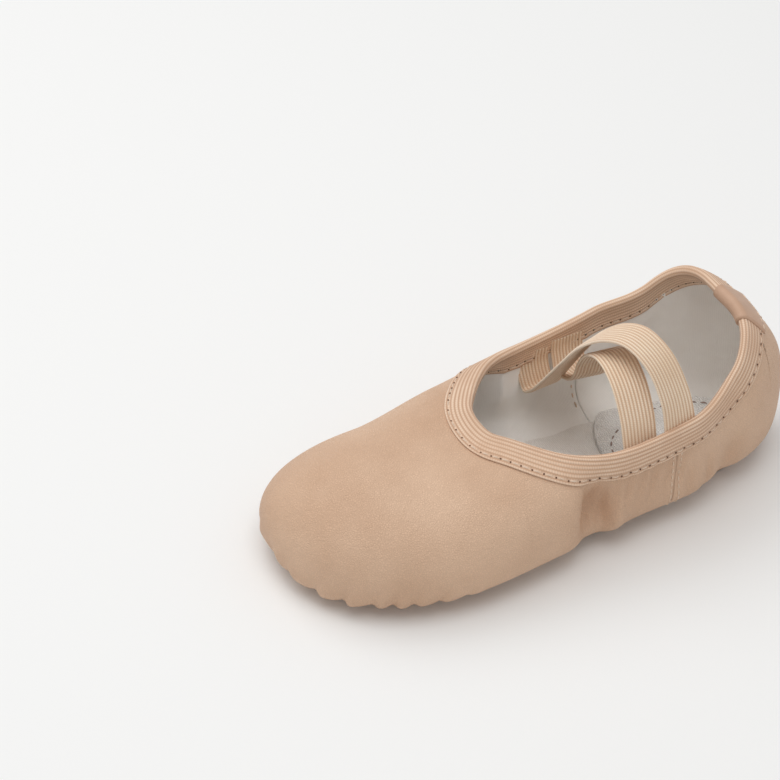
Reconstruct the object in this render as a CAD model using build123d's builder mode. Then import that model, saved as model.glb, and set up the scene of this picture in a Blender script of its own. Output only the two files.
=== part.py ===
from build123d import *
import math
import os

# Ballet slipper, lying empty on the floor. Millimetres, +Z up, the toe points to -Y, and the origin
# is on the floor under the middle of the length. Stations are distances from the toe's tip.

# The outside form of the leather upper. Places along it keep their share of the length.
shoe_length = 186.0
ball_half_width = 38.5
ball_station = 0.312 * shoe_length
waist_half_width = 33.5
waist_from_heel = 0.285 * shoe_length
heel_half_width = 29.0
heel_from_back = 0.172 * shoe_length
toe_plan_power = 2.4
heel_plan_power = 1.8
toe_sweep = 9.0
toe_tip_height = 12.0
toe_box_height = 37.0
toe_box_station = 0.226 * shoe_length
toe_rise_power = 2.3
toe_spring_length = 15.0
heel_bulge_height = 22.0
heel_crown_height = 64.5
heel_round_from_back = 0.237 * shoe_length
heel_rise_power = 2.2
heel_spring_length = 13.0
toe_top_power = 2.05
heel_top_power = 3.3
sole_power = 3.2

# The foot opening
throat_station = 0.387 * shoe_length
throat_height = 41.0
throat_length = 0.269 * shoe_length
throat_half_width = 0.935 * ball_half_width
topline_front_height = 40.0
topline_low_height = 38.5
topline_low_station = 0.618 * shoe_length
topline_rear_height = 44.5
topline_rear_from_back = 0.226 * shoe_length
topline_heel_height = 56.5
topline_heel_from_back = 18.0
topline_back_height = 59.5
topline_back_reach = 10.0
topline_front_rise = 2.5

# Layers
leather_thickness = 0.9
lining_thickness = 0.5
binding_thickness = 0.7
binding_width = 9.6
tab_thickness = 0.8
tab_half_width = 11.0
sole_patch_thickness = 1.5
insole_thickness = 1.2
heel_pad_thickness = 1.5
seam_tape_thickness = 0.5
seam_tape_half_width = 5.0
layer_gap = 0.1
seam_gap = 0.2
fold_height = 1.0

# Sole patches and the lasting holes that they cover
forefoot_patch_station = 0.323 * shoe_length
forefoot_patch_half_length = 0.247 * shoe_length
forefoot_patch_half_width = 0.7 * ball_half_width
heel_patch_from_back = 0.194 * shoe_length
heel_patch_half_length = 0.145 * shoe_length
heel_patch_half_width = 0.65 * heel_half_width
patch_rise = 1.1
lasting_margin = 9.0

# The insole and the pad on it
insole_margin = 10.5
insole_end_margin = 13.5
overlock_width = 1.2
heel_pad_margin = 12.0
heel_pad_length = 0.28 * shoe_length

# Seam between the vamp and the quarters
side_seam_from_heel = 0.317 * shoe_length
side_seam_foot_height = 7.0

# Elastic straps, each sewn to the inside of the binding at both ends
strap_width = 12.5
strap_thickness = 1.2
strap_clearance = 0.8
strap_skew_limit = 18.0
over_far_station = 0.575 * shoe_length
over_near_station = 0.696 * shoe_length
under_far_station = 0.677 * shoe_length
under_near_station = 0.613 * shoe_length
strap_top_height = 34.0
over_apex_height = 66.0
under_apex_height = 54.0
strap_hang_height = 23.0
strap_near_foot_height = 30.0

# Thread
stitch_pitch = 3.2
stitch_length = 2.2
stitch_width = 0.5
stitch_height = 0.35
stitch_inset = 1.8
stitch_lift = 0.35
double_row_spacing = 2.6

# Where the layers lie, as distances in from the outside of the leather
lining_outside = leather_thickness + layer_gap
lining_inside = lining_outside + lining_thickness
binding_outside = -layer_gap - binding_thickness
binding_inside = lining_inside + layer_gap + binding_thickness
tab_outside = binding_outside - layer_gap - tab_thickness
tab_inside = binding_inside + layer_gap + tab_thickness
inner_face = lining_inside + layer_gap
tape_inside = inner_face + seam_tape_thickness

# Stations that are measured from the back of the heel
waist_station = shoe_length - waist_from_heel
heel_station = shoe_length - heel_from_back
heel_round_station = shoe_length - heel_round_from_back
side_seam_station = shoe_length - side_seam_from_heel
heel_patch_station = shoe_length - heel_patch_from_back
beyond = 60.0


def blend(start, end, share):
    """Smooth change from one value to another."""
    share = min(max(share, 0.0), 1.0)
    return start + (end - start) * share * share * (3 - 2 * share)


def rounded(share, power):
    """Quarter of a superellipse, from 0 at its tip to 1 where it is full."""
    share = min(max(share, 0.0), 1.0)
    return (1 - (1 - share) ** power) ** (1 / power)


def top_power(station):
    """Fullness of the upper half of a section: the heel stands up straighter than the toe."""
    share = (station - toe_box_station) / (waist_station - toe_box_station)
    return blend(toe_top_power, heel_top_power, share)


def half_width(station, inset):
    """Half of the form's width at a station."""
    back = shoe_length - inset
    if station < ball_station:
        share = (station - inset) / (ball_station - inset)
        return (ball_half_width - inset) * rounded(share, toe_plan_power)
    if station < waist_station:
        share = (station - ball_station) / (waist_station - ball_station)
        return blend(ball_half_width, waist_half_width, share) - inset
    if station < heel_station:
        share = (station - waist_station) / (heel_station - waist_station)
        return blend(waist_half_width, heel_half_width, share) - inset
    share = (back - station) / (back - heel_station)
    return (heel_half_width - inset) * rounded(share, heel_plan_power)


def crown_height(station, inset):
    """Height of the top of the closed form, as if it had no foot opening."""
    back = shoe_length - inset
    if station < toe_box_station:
        share = (station - inset) / (toe_box_station - inset)
        rise = toe_box_height - inset - toe_tip_height
        return toe_tip_height + rise * rounded(share, toe_rise_power)
    if station < throat_station:
        share = (station - toe_box_station) / (throat_station - toe_box_station)
        return blend(toe_box_height, throat_height, share) - inset
    if station < heel_round_station:
        share = (station - throat_station) / (heel_round_station - throat_station)
        return blend(throat_height, heel_crown_height, share) - inset
    share = (back - station) / (back - heel_round_station)
    rise = heel_crown_height - inset - heel_bulge_height
    return heel_bulge_height + rise * rounded(share, heel_rise_power)


def sole_height(station, inset):
    """Height of the underside of the form."""
    flat = sole_patch_thickness + layer_gap + inset
    if station < shoe_length / 2:
        lift = 1 - rounded((station - inset) / (toe_spring_length - inset), 2)
        return flat + (toe_tip_height - flat) * lift
    reach = shoe_length - inset - station
    lift = 1 - rounded(reach / (heel_spring_length - inset), 2)
    return flat + (heel_bulge_height - flat) * lift


def widest_height(station, inset):
    """Height at which a section is widest."""
    sole = sole_height(station, inset)
    depth = crown_height(station, inset) - sole
    height = blend(toe_tip_height, heel_bulge_height, station / shoe_length)
    return min(max(height, sole + 0.2 * depth), sole + 0.8 * depth)


def centre_offset(station):
    """Sideways place of the section's middle: the toe sweeps to the -X side."""
    return -toe_sweep * max(1 - station / ball_station, 0.0) ** 2


def section_point(station, inset, degrees):
    """Point of a section: 0 is the +X side, 90 the top, -90 the underside."""
    across = math.cos(math.radians(degrees))
    upward = math.sin(math.radians(degrees))
    power = top_power(station) if upward >= 0 else sole_power
    widest = widest_height(station, inset)
    if upward >= 0:
        reach = crown_height(station, inset) - widest
    else:
        reach = widest - sole_height(station, inset)
    x = math.copysign(abs(across) ** (2 / power), across) * half_width(station, inset)
    z = widest + reach * math.copysign(abs(upward) ** (2 / power), upward)
    return centre_offset(station) + x, z


def wall_offset(station, inset, height):
    """Distance from a section's middle to its wall at a height above the widest place."""
    widest = widest_height(station, inset)
    share = (height - widest) / (crown_height(station, inset) - widest)
    share = min(max(share, 0.0), 1.0)
    power = top_power(station)
    return half_width(station, inset) * (1 - share**power) ** (1 / power)


def at(x, station, z):
    """Point in the slipper's frame, from a station."""
    return Vector(x, station - shoe_length / 2, z)


# Angles round a section, closest together where the sole's edge turns, and the share of the way
# round at which each lies, which all sections have in common
top_angles = [0, 14, 28, 42, 56, 70, 80, 90, 100, 110, 124, 138, 152, 166, 180]
sole_angles = [2, 9, 24, 44, 64, 79, 90]
section_angles = top_angles + [180 + a for a in sole_angles] + [360 - a for a in sole_angles[-2::-1]]


def section_shares():
    """Share of the way round at each angle, measured on the section at the ball."""
    points = [Vector(*section_point(ball_station, 0, a)) for a in section_angles]
    lengths = [(b - a).length for a, b in zip(points, points[1:] + points[:1])]
    return [sum(lengths[:i]) / sum(lengths) for i in range(len(lengths) + 1)]


def form_stations(inset):
    """Stations of the sections, closest together at the round ends."""
    front, back = inset, shoe_length - inset
    toe = [front + (toe_box_station - front) * s for s in (0.004, 0.03, 0.08, 0.17, 0.3, 0.5, 0.75)]
    heel = [back - (back - heel_round_station) * s for s in (0.85, 0.6, 0.4, 0.24, 0.13, 0.05, 0.006)]
    walls = [throat_station + (waist_station - throat_station) * s for s in (0, 0.3, 0.58, 0.86)]
    rear = [waist_station + (heel_round_station - waist_station) * s for s in (0.25, 0.99)]
    return sorted(toe + [toe_box_station, ball_station] + walls + rear + heel)


def closed_form(inset):
    """The slipper's outside form, moved inwards by the inset, as one closed solid."""
    shares = section_shares()
    with BuildPart() as form:
        for station in form_stations(inset):
            with BuildSketch(Plane.XZ.offset(shoe_length / 2 - station)):
                points = [section_point(station, inset, a) for a in section_angles]
                with BuildLine():
                    outline = [Vector(*p) for p in points]
                    add(Edge.make_spline(outline, periodic=True, parameters=shares))
                make_face()
        loft()
    return form.part


def topline_knots(margin):
    """Points of the opening's edge in side view, as (y, z), lowered by a margin."""
    middle = shoe_length / 2
    knots = [
        (throat_station - beyond, topline_front_height + topline_front_rise),
        (throat_station, topline_front_height),
        (topline_low_station, topline_low_height),
        (shoe_length - topline_rear_from_back, topline_rear_height),
        (shoe_length - topline_heel_from_back, topline_heel_height),
        (shoe_length + topline_back_reach, topline_back_height),
    ]
    return [(station - middle, height - margin) for station, height in knots]


def opening(margin):
    """Everything above the topline and behind the throat, grown by a margin."""
    ceiling = heel_crown_height + beyond
    front = throat_station - shoe_length / 2
    with BuildPart() as space:
        with BuildSketch(Plane.YZ.offset(-beyond)):
            with BuildLine():
                edge = Spline(*topline_knots(margin))
                Polyline(edge @ 1, (ceiling, ceiling), (-ceiling, ceiling), edge @ 0)
            make_face()
        extrude(amount=2 * beyond)
        with BuildSketch(Plane.XY):
            with Locations((0, front + throat_length)):
                Ellipse(throat_half_width + margin, throat_length + margin)
            with Locations((0, front + throat_length)):
                Rectangle(2 * (throat_half_width + margin), 3 * beyond, align=(Align.CENTER, Align.MIN))
        extrude(amount=ceiling, mode=Mode.INTERSECT)
    return space.part


def patch_prism(station, half_length, patch_half_width, low, high):
    """Upright elliptical prism under or in the sole."""
    with BuildPart() as prism:
        with BuildSketch(Plane.XY.offset(low)):
            with Locations((0, station - shoe_length / 2)):
                Ellipse(patch_half_width, half_length)
        extrude(amount=high - low)
    return prism.part


def profile_height(station):
    """Height of the topline's side profile at a station."""
    for low, high in zip(profile_points, profile_points[1:]):
        if low.X <= station - shoe_length / 2 <= high.X:
            share = (station - shoe_length / 2 - low.X) / (high.X - low.X)
            return low.Y + (high.Y - low.Y) * share
    return topline_back_height


def throat_offset(station, margin):
    """Half of the opening's width, as the rounded throat limits it."""
    share = (station - throat_station + margin) / (throat_length + margin)
    return (throat_half_width + margin) * rounded(share, 2)


def edge_point(station, inset, drop, side):
    """Point on a layer's face, a given drop below the opening's edge."""
    wall = wall_offset(station, inset, profile_height(station) - drop)
    offset = min(wall, throat_offset(station, drop))
    widest = widest_height(station, inset)
    share = min(offset / max(half_width(station, inset), 0.01), 1.0)
    power = top_power(station)
    z = widest + (crown_height(station, inset) - widest) * (1 - share**power) ** (1 / power)
    return at(centre_offset(station) + side * offset, station, z)


def form_value(point, inset):
    """Under 1 inside the form and over 1 outside it."""
    station = point.Y + shoe_length / 2
    widest = widest_height(station, inset)
    power = top_power(station) if point.Z >= widest else sole_power
    top, sole = crown_height(station, inset), sole_height(station, inset)
    reach = top - widest if point.Z >= widest else widest - sole
    across = abs(point.X - centre_offset(station)) / max(half_width(station, inset), 0.01)
    return across**power + (abs(point.Z - widest) / max(reach, 0.01)) ** power


def outward(point, inset):
    """Unit normal of a layer's face, by differences."""
    step = 0.05
    change = [form_value(point + d, inset) - form_value(point - d, inset)
              for d in (Vector(step, 0, 0), Vector(0, step, 0), Vector(0, 0, step))]
    return Vector(*change).normalized()


def evenly(path, pitch):
    """Places along a path at a pitch, each with the path's direction."""
    places = []
    walked = pitch / 2
    for start, end in zip(path, path[1:]):
        run = (end - start).length
        while walked < run:
            places.append((start + (end - start) * (walked / run), (end - start).normalized()))
            walked += pitch
        walked -= run
    return places


def row_on_face(path, inset, facing):
    """Places of the stitches of a row on a layer: facing is 1 outwards and -1 inwards."""
    planes = []
    for point, along in evenly(path, stitch_pitch):
        normal = outward(point, inset) * facing
        origin = point + normal * (stitch_lift + stitch_height / 2)
        planes.append(Plane(origin=origin, x_dir=along, z_dir=normal))
    return planes


def row_on_flat(path, height):
    """Places of the stitches of a row that lies on a flat layer, at its top."""
    lift = Vector(0, 0, height + layer_gap / 2 + stitch_height / 2)
    return [Plane(origin=p + lift, x_dir=d, z_dir=(0, 0, 1)) for p, d in evenly(path, stitch_pitch)]


def edge_path(inset, drop):
    """Path at a drop below the opening's edge, from the heel round the throat and back."""
    last = shoe_length - inset - 0.4
    while wall_offset(last, inset, profile_height(last) - drop) < tab_half_width + stitch_length:
        last -= 0.1
    first = throat_station - drop
    count = 240
    stations = [first + (last - first) * (i / count) ** 2 for i in range(count + 1)]
    one_side = [edge_point(s, inset, drop, 1) for s in reversed(stations)]
    return one_side + [edge_point(s, inset, drop, -1) for s in stations[1:]]


def section_path(station, inset, start, end):
    """Path round a section between two angles."""
    steps = 40
    angles = [start + (end - start) * i / steps for i in range(steps + 1)]
    return [at(x, station, z) for x, z in (section_point(station, inset, a) for a in angles)]


def back_path(inset, x, low, high):
    """Path down the back of the heel at a distance from its middle, between two heights."""
    path = []
    for i in range(400):
        station = heel_round_station + (shoe_length - inset - heel_round_station) * i / 400
        width, widest = half_width(station, inset), widest_height(station, inset)
        if abs(x) < width:
            power = top_power(station)
            rise = (1 - (abs(x) / width) ** power) ** (1 / power)
            z = widest + (crown_height(station, inset) - widest) * rise
            if low < z < high:
                path.append(at(x, station, z))
    return path


def ellipse_path(station, half_length, patch_half_width, start, end):
    """Path along an ellipse in the plane of the floor, between two angles."""
    steps = 60
    angles = [math.radians(start + (end - start) * i / steps) for i in range(steps + 1)]
    return [at(patch_half_width * math.cos(a), station + half_length * math.sin(a), 0) for a in angles]


def plan_outline(margin, first, last):
    """Closed outline that keeps a margin inside the form, between two stations."""
    count = 22
    shares = [(1 - math.cos(math.pi * i / count)) / 2 for i in range(count + 1)]
    stations = [first + (last - first) * s for s in shares]
    right = [(centre_offset(s) - half_width(s, margin), s - shoe_length / 2) for s in stations]
    left = [(centre_offset(s) + half_width(s, margin), s - shoe_length / 2) for s in reversed(stations)]
    return right[:-1] + left[:-1]


def outline_prism(margin, first, last, low, high):
    """Upright prism on an outline that keeps a margin inside the form."""
    with BuildPart() as prism:
        with BuildSketch(Plane.XY.offset(low)):
            with BuildLine():
                Spline(*plan_outline(margin, first, last), periodic=True)
            make_face()
        extrude(amount=high - low)
    return prism.part


def slab(x_low, x_high, station_low, station_high, z_low, z_high):
    """Plain box between stations."""
    with BuildPart() as box:
        with Locations(at((x_low + x_high) / 2, (station_low + station_high) / 2, (z_low + z_high) / 2)):
            Box(x_high - x_low, station_high - station_low, z_high - z_low)
    return box.part


def back_slab(half, bottom):
    """Box round the back of the heel, above a height."""
    return slab(-half, half, heel_station, shoe_length + beyond, bottom, 2 * beyond)


os.makedirs("parts", exist_ok=True)
profile_edge = Edge.make_spline([Vector(y, z) for y, z in topline_knots(0)])
profile_points = [profile_edge @ (i / 200) for i in range(201)]

# The form at each layer's faces
leather_outer_form = closed_form(0)
leather_inner_form = closed_form(leather_thickness)
lining_outer_form = closed_form(lining_outside)
lining_inner_form = closed_form(lining_inside)
inner_form = closed_form(inner_face)
binding_outer_form = closed_form(binding_outside)
binding_inner_form = closed_form(binding_inside)
tab_outer_form = closed_form(tab_outside)
tab_inner_form = closed_form(tab_inside)
tab_lower_form = closed_form(binding_outside - layer_gap)
tab_upper_form = closed_form(binding_inside + layer_gap)
clear_form = closed_form(-layer_gap)

# The opening at the edge, under the binding's fold, and at the binding's lower edge
mouth = opening(0)
fold_mouth = opening(fold_height)
band_mouth = opening(binding_width)
tab_mouth = opening(binding_width + 1.5)
raised_mouth = opening(-layer_gap - tab_thickness)
clear_mouth = opening(-layer_gap / 2)

# Lasting holes, smaller than the patches that cover them
forefoot_hole = patch_prism(
    forefoot_patch_station,
    forefoot_patch_half_length - lasting_margin,
    forefoot_patch_half_width - lasting_margin,
    -1,
    sole_patch_thickness + inner_face + 1,
)
heel_hole = patch_prism(
    heel_patch_station,
    heel_patch_half_length - lasting_margin,
    heel_patch_half_width - lasting_margin,
    -1,
    sole_patch_thickness + inner_face + 1,
)


def vamp_side():
    """Everything in front of the side seams."""
    return slab(-beyond, beyond, -beyond, side_seam_station - seam_gap / 2, -beyond, 2 * beyond)


def quarter_side(side):
    """Everything behind a side seam, on one side of the centre line: 1 is the +X side."""
    low, high = sorted((side * seam_gap / 2, side * beyond))
    return slab(low, high, side_seam_station + seam_gap / 2, shoe_length + beyond, -beyond, 2 * beyond)


# The leather upper: a vamp over the toes, and two quarters joined at the heel. Left and right are
# the wearer's, so the left side is +X.
with BuildPart() as vamp:
    add(leather_outer_form)
    add(leather_inner_form, mode=Mode.SUBTRACT)
    add(fold_mouth, mode=Mode.SUBTRACT)
    add(forefoot_hole, mode=Mode.SUBTRACT)
    add(vamp_side(), mode=Mode.INTERSECT)
vamp.part.label = "vamp"
export_step(vamp.part, "parts/vamp.step")

for side, side_name in ((1, "left"), (-1, "right")):
    with BuildPart() as quarter:
        add(leather_outer_form)
        add(leather_inner_form, mode=Mode.SUBTRACT)
        add(fold_mouth, mode=Mode.SUBTRACT)
        add(heel_hole, mode=Mode.SUBTRACT)
        add(quarter_side(side), mode=Mode.INTERSECT)
    quarter.part.label = side_name + "_quarter"
    export_step(quarter.part, "parts/" + quarter.part.label + ".step")

# The lining, cut like the upper
with BuildPart() as vamp_lining:
    add(lining_outer_form)
    add(lining_inner_form, mode=Mode.SUBTRACT)
    add(fold_mouth, mode=Mode.SUBTRACT)
    add(forefoot_hole, mode=Mode.SUBTRACT)
    add(vamp_side(), mode=Mode.INTERSECT)
vamp_lining.part.label = "vamp_lining"
export_step(vamp_lining.part, "parts/vamp_lining.step")

for side, side_name in ((1, "left"), (-1, "right")):
    with BuildPart() as quarter_lining:
        add(lining_outer_form)
        add(lining_inner_form, mode=Mode.SUBTRACT)
        add(fold_mouth, mode=Mode.SUBTRACT)
        add(heel_hole, mode=Mode.SUBTRACT)
        add(quarter_side(side), mode=Mode.INTERSECT)
    quarter_lining.part.label = side_name + "_quarter_lining"
    export_step(quarter_lining.part, "parts/" + quarter_lining.part.label + ".step")

# Elastic binding, folded over the edge of the upper and its lining
with BuildPart() as topline_binding:
    add(binding_outer_form)
    add(binding_inner_form, mode=Mode.SUBTRACT)
    add(band_mouth, mode=Mode.INTERSECT)
    add(mouth, mode=Mode.SUBTRACT)
    add((clear_form - inner_form) - fold_mouth, mode=Mode.SUBTRACT)
topline_binding.part.label = "topline_binding"
export_step(topline_binding.part, "parts/topline_binding.step")

# Leather tab, wrapped over the binding's joint at the back
with BuildPart() as heel_tab:
    add(tab_outer_form)
    add(tab_inner_form, mode=Mode.SUBTRACT)
    add(tab_mouth, mode=Mode.INTERSECT)
    add(raised_mouth, mode=Mode.SUBTRACT)
    add(back_slab(tab_half_width, 0), mode=Mode.INTERSECT)
    add(tab_lower_form - tab_upper_form - clear_mouth, mode=Mode.SUBTRACT)
heel_tab.part.label = "heel_tab"
export_step(heel_tab.part, "parts/heel_tab.step")

# Tape over the back seam, inside the heel
tape_bottom = sole_patch_thickness + inner_face + insole_thickness + heel_pad_thickness + 2
with BuildPart() as back_seam_tape:
    add(inner_form)
    add(closed_form(tape_inside), mode=Mode.SUBTRACT)
    add(tab_mouth, mode=Mode.SUBTRACT)
    add(back_slab(seam_tape_half_width, tape_bottom), mode=Mode.INTERSECT)
back_seam_tape.part.label = "back_seam_tape"
export_step(back_seam_tape.part, "parts/back_seam_tape.step")

# Suede patches under the ball and the heel, flat on the floor and following the upper above
patch_ceiling = sole_patch_thickness + patch_rise
with BuildPart() as forefoot_sole_patch:
    add(
        patch_prism(
            forefoot_patch_station,
            forefoot_patch_half_length,
            forefoot_patch_half_width,
            0,
            patch_ceiling,
        )
    )
    add(clear_form, mode=Mode.SUBTRACT)
forefoot_sole_patch.part.label = "forefoot_sole_patch"
export_step(forefoot_sole_patch.part, "parts/forefoot_sole_patch.step")

with BuildPart() as heel_sole_patch:
    add(patch_prism(heel_patch_station, heel_patch_half_length, heel_patch_half_width, 0, patch_ceiling))
    add(clear_form, mode=Mode.SUBTRACT)
heel_sole_patch.part.label = "heel_sole_patch"
export_step(heel_sole_patch.part, "parts/heel_sole_patch.step")

# Felt fillers in the lasting holes, between the patches and the insole
filler_low = sole_patch_thickness + layer_gap
filler_high = sole_patch_thickness + lining_inside
filler_margin = lasting_margin + layer_gap + seam_gap
with BuildPart() as forefoot_filler:
    add(
        patch_prism(
            forefoot_patch_station,
            forefoot_patch_half_length - filler_margin,
            forefoot_patch_half_width - filler_margin,
            filler_low,
            filler_high,
        )
    )
    add(clear_form, mode=Mode.INTERSECT)
forefoot_filler.part.label = "forefoot_filler"
export_step(forefoot_filler.part, "parts/forefoot_filler.step")

with BuildPart() as heel_filler:
    add(
        patch_prism(
            heel_patch_station,
            heel_patch_half_length - filler_margin,
            heel_patch_half_width - filler_margin,
            filler_low,
            filler_high,
        )
    )
    add(clear_form, mode=Mode.INTERSECT)
heel_filler.part.label = "heel_filler"
export_step(heel_filler.part, "parts/heel_filler.step")

# Insole with its overlocked edge, and the soft pad on it under the heel
insole_low = sole_patch_thickness + inner_face
insole_high = insole_low + insole_thickness + layer_gap
insole_first = insole_end_margin
insole_last = shoe_length - insole_end_margin
with BuildPart() as insole:
    add(outline_prism(insole_margin + overlock_width, insole_first, insole_last, insole_low, insole_high))
    add(inner_form, mode=Mode.INTERSECT)
insole.part.label = "insole"
export_step(insole.part, "parts/insole.step")

with BuildPart() as insole_overlocking:
    add(outline_prism(insole_margin, insole_first - 1, insole_last + 1, insole_low, insole_high))
    margin = insole_margin + overlock_width - layer_gap
    add(
        outline_prism(margin, insole_first - 0.5, insole_last + 0.5, 0, 2 * insole_high),
        mode=Mode.SUBTRACT,
    )
    add(inner_form, mode=Mode.INTERSECT)
insole_overlocking.part.label = "insole_overlocking"
export_step(insole_overlocking.part, "parts/insole_overlocking.step")

heel_pad_first = shoe_length - heel_pad_margin - heel_pad_length
heel_pad_low = insole_high + layer_gap
heel_pad_high = heel_pad_low + heel_pad_thickness
with BuildPart() as heel_pad:
    add(
        patch_prism(
            heel_pad_first + heel_pad_length / 2,
            heel_pad_length / 2,
            heel_half_width - heel_pad_margin,
            heel_pad_low,
            heel_pad_high,
        )
    )
heel_pad.part.label = "heel_pad"
export_step(heel_pad.part, "parts/heel_pad.step")


def strap_end(station, side):
    """Where a strap meets the inside of the binding, clear of it by the strap's own skew."""
    skew = strap_width / 2 * math.tan(math.radians(strap_skew_limit))
    wall = wall_offset(station, binding_inside, profile_height(station) - fold_height)
    reach = wall - skew - strap_thickness / 2 - strap_clearance
    return at(centre_offset(station) + side * reach, station, 0)


def strap(far_station, near_station, heights):
    """A strap that stands as an arch on the chord between its two sewn ends.

    heights holds pairs: how far along the chord, from 0 to 1, and how high above the floor."""
    far, near = strap_end(far_station, -1), strap_end(near_station, 1)
    chord = near - far
    across = chord.normalized().cross(Vector(0, 0, 1))
    middle_line = Edge.make_spline([Vector(share * chord.length, height) for share, height in heights])
    samples = [i / 36 for i in range(37)]
    faces = []
    for side in (1, -1):
        offsets = [(middle_line % u).rotate(Axis.Z, 90) * (side * strap_thickness / 2) for u in samples]
        faces.append([(middle_line @ u) + o for u, o in zip(samples, offsets)])
    with BuildPart() as ribbon:
        with BuildSketch(Plane(origin=far, x_dir=chord.normalized(), z_dir=across)):
            with BuildLine():
                upper = Spline(*faces[0])
                lower = Spline(*faces[1])
                Line(upper @ 0, lower @ 0)
                Line(upper @ 1, lower @ 1)
            make_face()
        extrude(amount=strap_width / 2, both=True)
    return ribbon.part


# Elastic straps. Each hangs a little way down the far wall, turns up in a loop and crosses over to
# the near wall. The under strap passes below the over strap.
over_heights = [
    (0, strap_top_height),
    (0, strap_top_height - 6),
    (0.02, strap_hang_height + 2),
    (0.07, strap_hang_height),
    (0.12, strap_hang_height + 3.5),
    (0.2, strap_hang_height + 14),
    (0.38, over_apex_height - 12),
    (0.6, over_apex_height),
    (0.8, over_apex_height - 3),
    (0.93, over_apex_height - 12),
    (0.985, over_apex_height - 23),
    (1, strap_near_foot_height),
]
with BuildPart() as over_strap:
    add(strap(over_far_station, over_near_station, over_heights))
over_strap.part.label = "over_strap"
export_step(over_strap.part, "parts/over_strap.step")

under_heights = [
    (0, strap_top_height),
    (0, strap_top_height - 5),
    (0.02, strap_hang_height + 4.5),
    (0.075, strap_hang_height + 3),
    (0.15, strap_hang_height + 5),
    (0.25, strap_hang_height + 9.5),
    (0.36, under_apex_height - 12),
    (0.46, under_apex_height - 3.5),
    (0.6, under_apex_height),
    (0.8, under_apex_height - 1.5),
    (0.93, under_apex_height - 8),
    (0.985, under_apex_height - 15),
    (1, strap_near_foot_height),
]
with BuildPart() as under_strap:
    add(strap(under_far_station, under_near_station, under_heights))
under_strap.part.label = "under_strap"
export_step(under_strap.part, "parts/under_strap.step")


def thread_group(planes):
    """Short stitches, one on each plane."""
    with BuildPart() as stitches:
        with Locations(*[plane.location for plane in planes]):
            Box(stitch_length, stitch_width, stitch_height)
    return stitches.part


# Stitches
binding_drop = binding_width - stitch_inset
with BuildPart() as binding_stitching:
    add(thread_group(row_on_face(edge_path(binding_outside, binding_drop), binding_outside, 1)))
    add(thread_group(row_on_face(edge_path(binding_inside, binding_drop), binding_inside, -1)))
binding_stitching.part.label = "binding_stitching"
export_step(binding_stitching.part, "parts/binding_stitching.step")

for side, side_name in ((1, "left"), (-1, "right")):
    rows = []
    for offset in (-double_row_spacing / 2, double_row_spacing / 2):
        station = side_seam_station + offset
        ceiling = profile_height(station) - binding_width - stitch_length
        path = section_path(station, 0, 90, -90) if side > 0 else section_path(station, 0, 90, 270)
        rows += row_on_face([p for p in path if side_seam_foot_height < p.Z < ceiling], 0, 1)
    with BuildPart() as side_seam_stitching:
        add(thread_group(rows))
    side_seam_stitching.part.label = side_name + "_side_seam_stitching"
    export_step(side_seam_stitching.part, "parts/" + side_seam_stitching.part.label + ".step")

# Stitches of the sole patches, where they come through on top of the insole and the heel pad
with BuildPart() as forefoot_sole_stitching:
    add(
        thread_group(
            row_on_flat(
                ellipse_path(
                    forefoot_patch_station,
                    forefoot_patch_half_length - stitch_inset,
                    forefoot_patch_half_width - stitch_inset,
                    -35,
                    215,
                ),
                insole_high,
            )
        )
    )
forefoot_sole_stitching.part.label = "forefoot_sole_stitching"
export_step(forefoot_sole_stitching.part, "parts/forefoot_sole_stitching.step")

with BuildPart() as heel_sole_stitching:
    add(
        thread_group(
            row_on_flat(
                ellipse_path(
                    heel_pad_first + heel_pad_length / 2,
                    heel_pad_length / 2 - 2 * stitch_inset,
                    heel_half_width - heel_pad_margin - 2 * stitch_inset,
                    0,
                    360,
                ),
                heel_pad_high,
            )
        )
    )
heel_sole_stitching.part.label = "heel_sole_stitching"
export_step(heel_sole_stitching.part, "parts/heel_sole_stitching.step")

tab_foot = topline_back_height - binding_width
with BuildPart() as heel_tab_stitching:
    for x in (-(tab_half_width - stitch_inset), tab_half_width - stitch_inset):
        path = back_path(tab_outside, x, tab_foot, tab_foot + binding_width - 3)
        add(thread_group(row_on_face(path, tab_outside, 1)))
heel_tab_stitching.part.label = "heel_tab_stitching"
export_step(heel_tab_stitching.part, "parts/heel_tab_stitching.step")

with BuildPart() as back_seam_stitching:
    for x in (-double_row_spacing / 2, double_row_spacing / 2):
        add(thread_group(row_on_face(back_path(0, x, heel_bulge_height + 3, tab_foot - 3), 0, 1)))
back_seam_stitching.part.label = "back_seam_stitching"
export_step(back_seam_stitching.part, "parts/back_seam_stitching.step")
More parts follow.
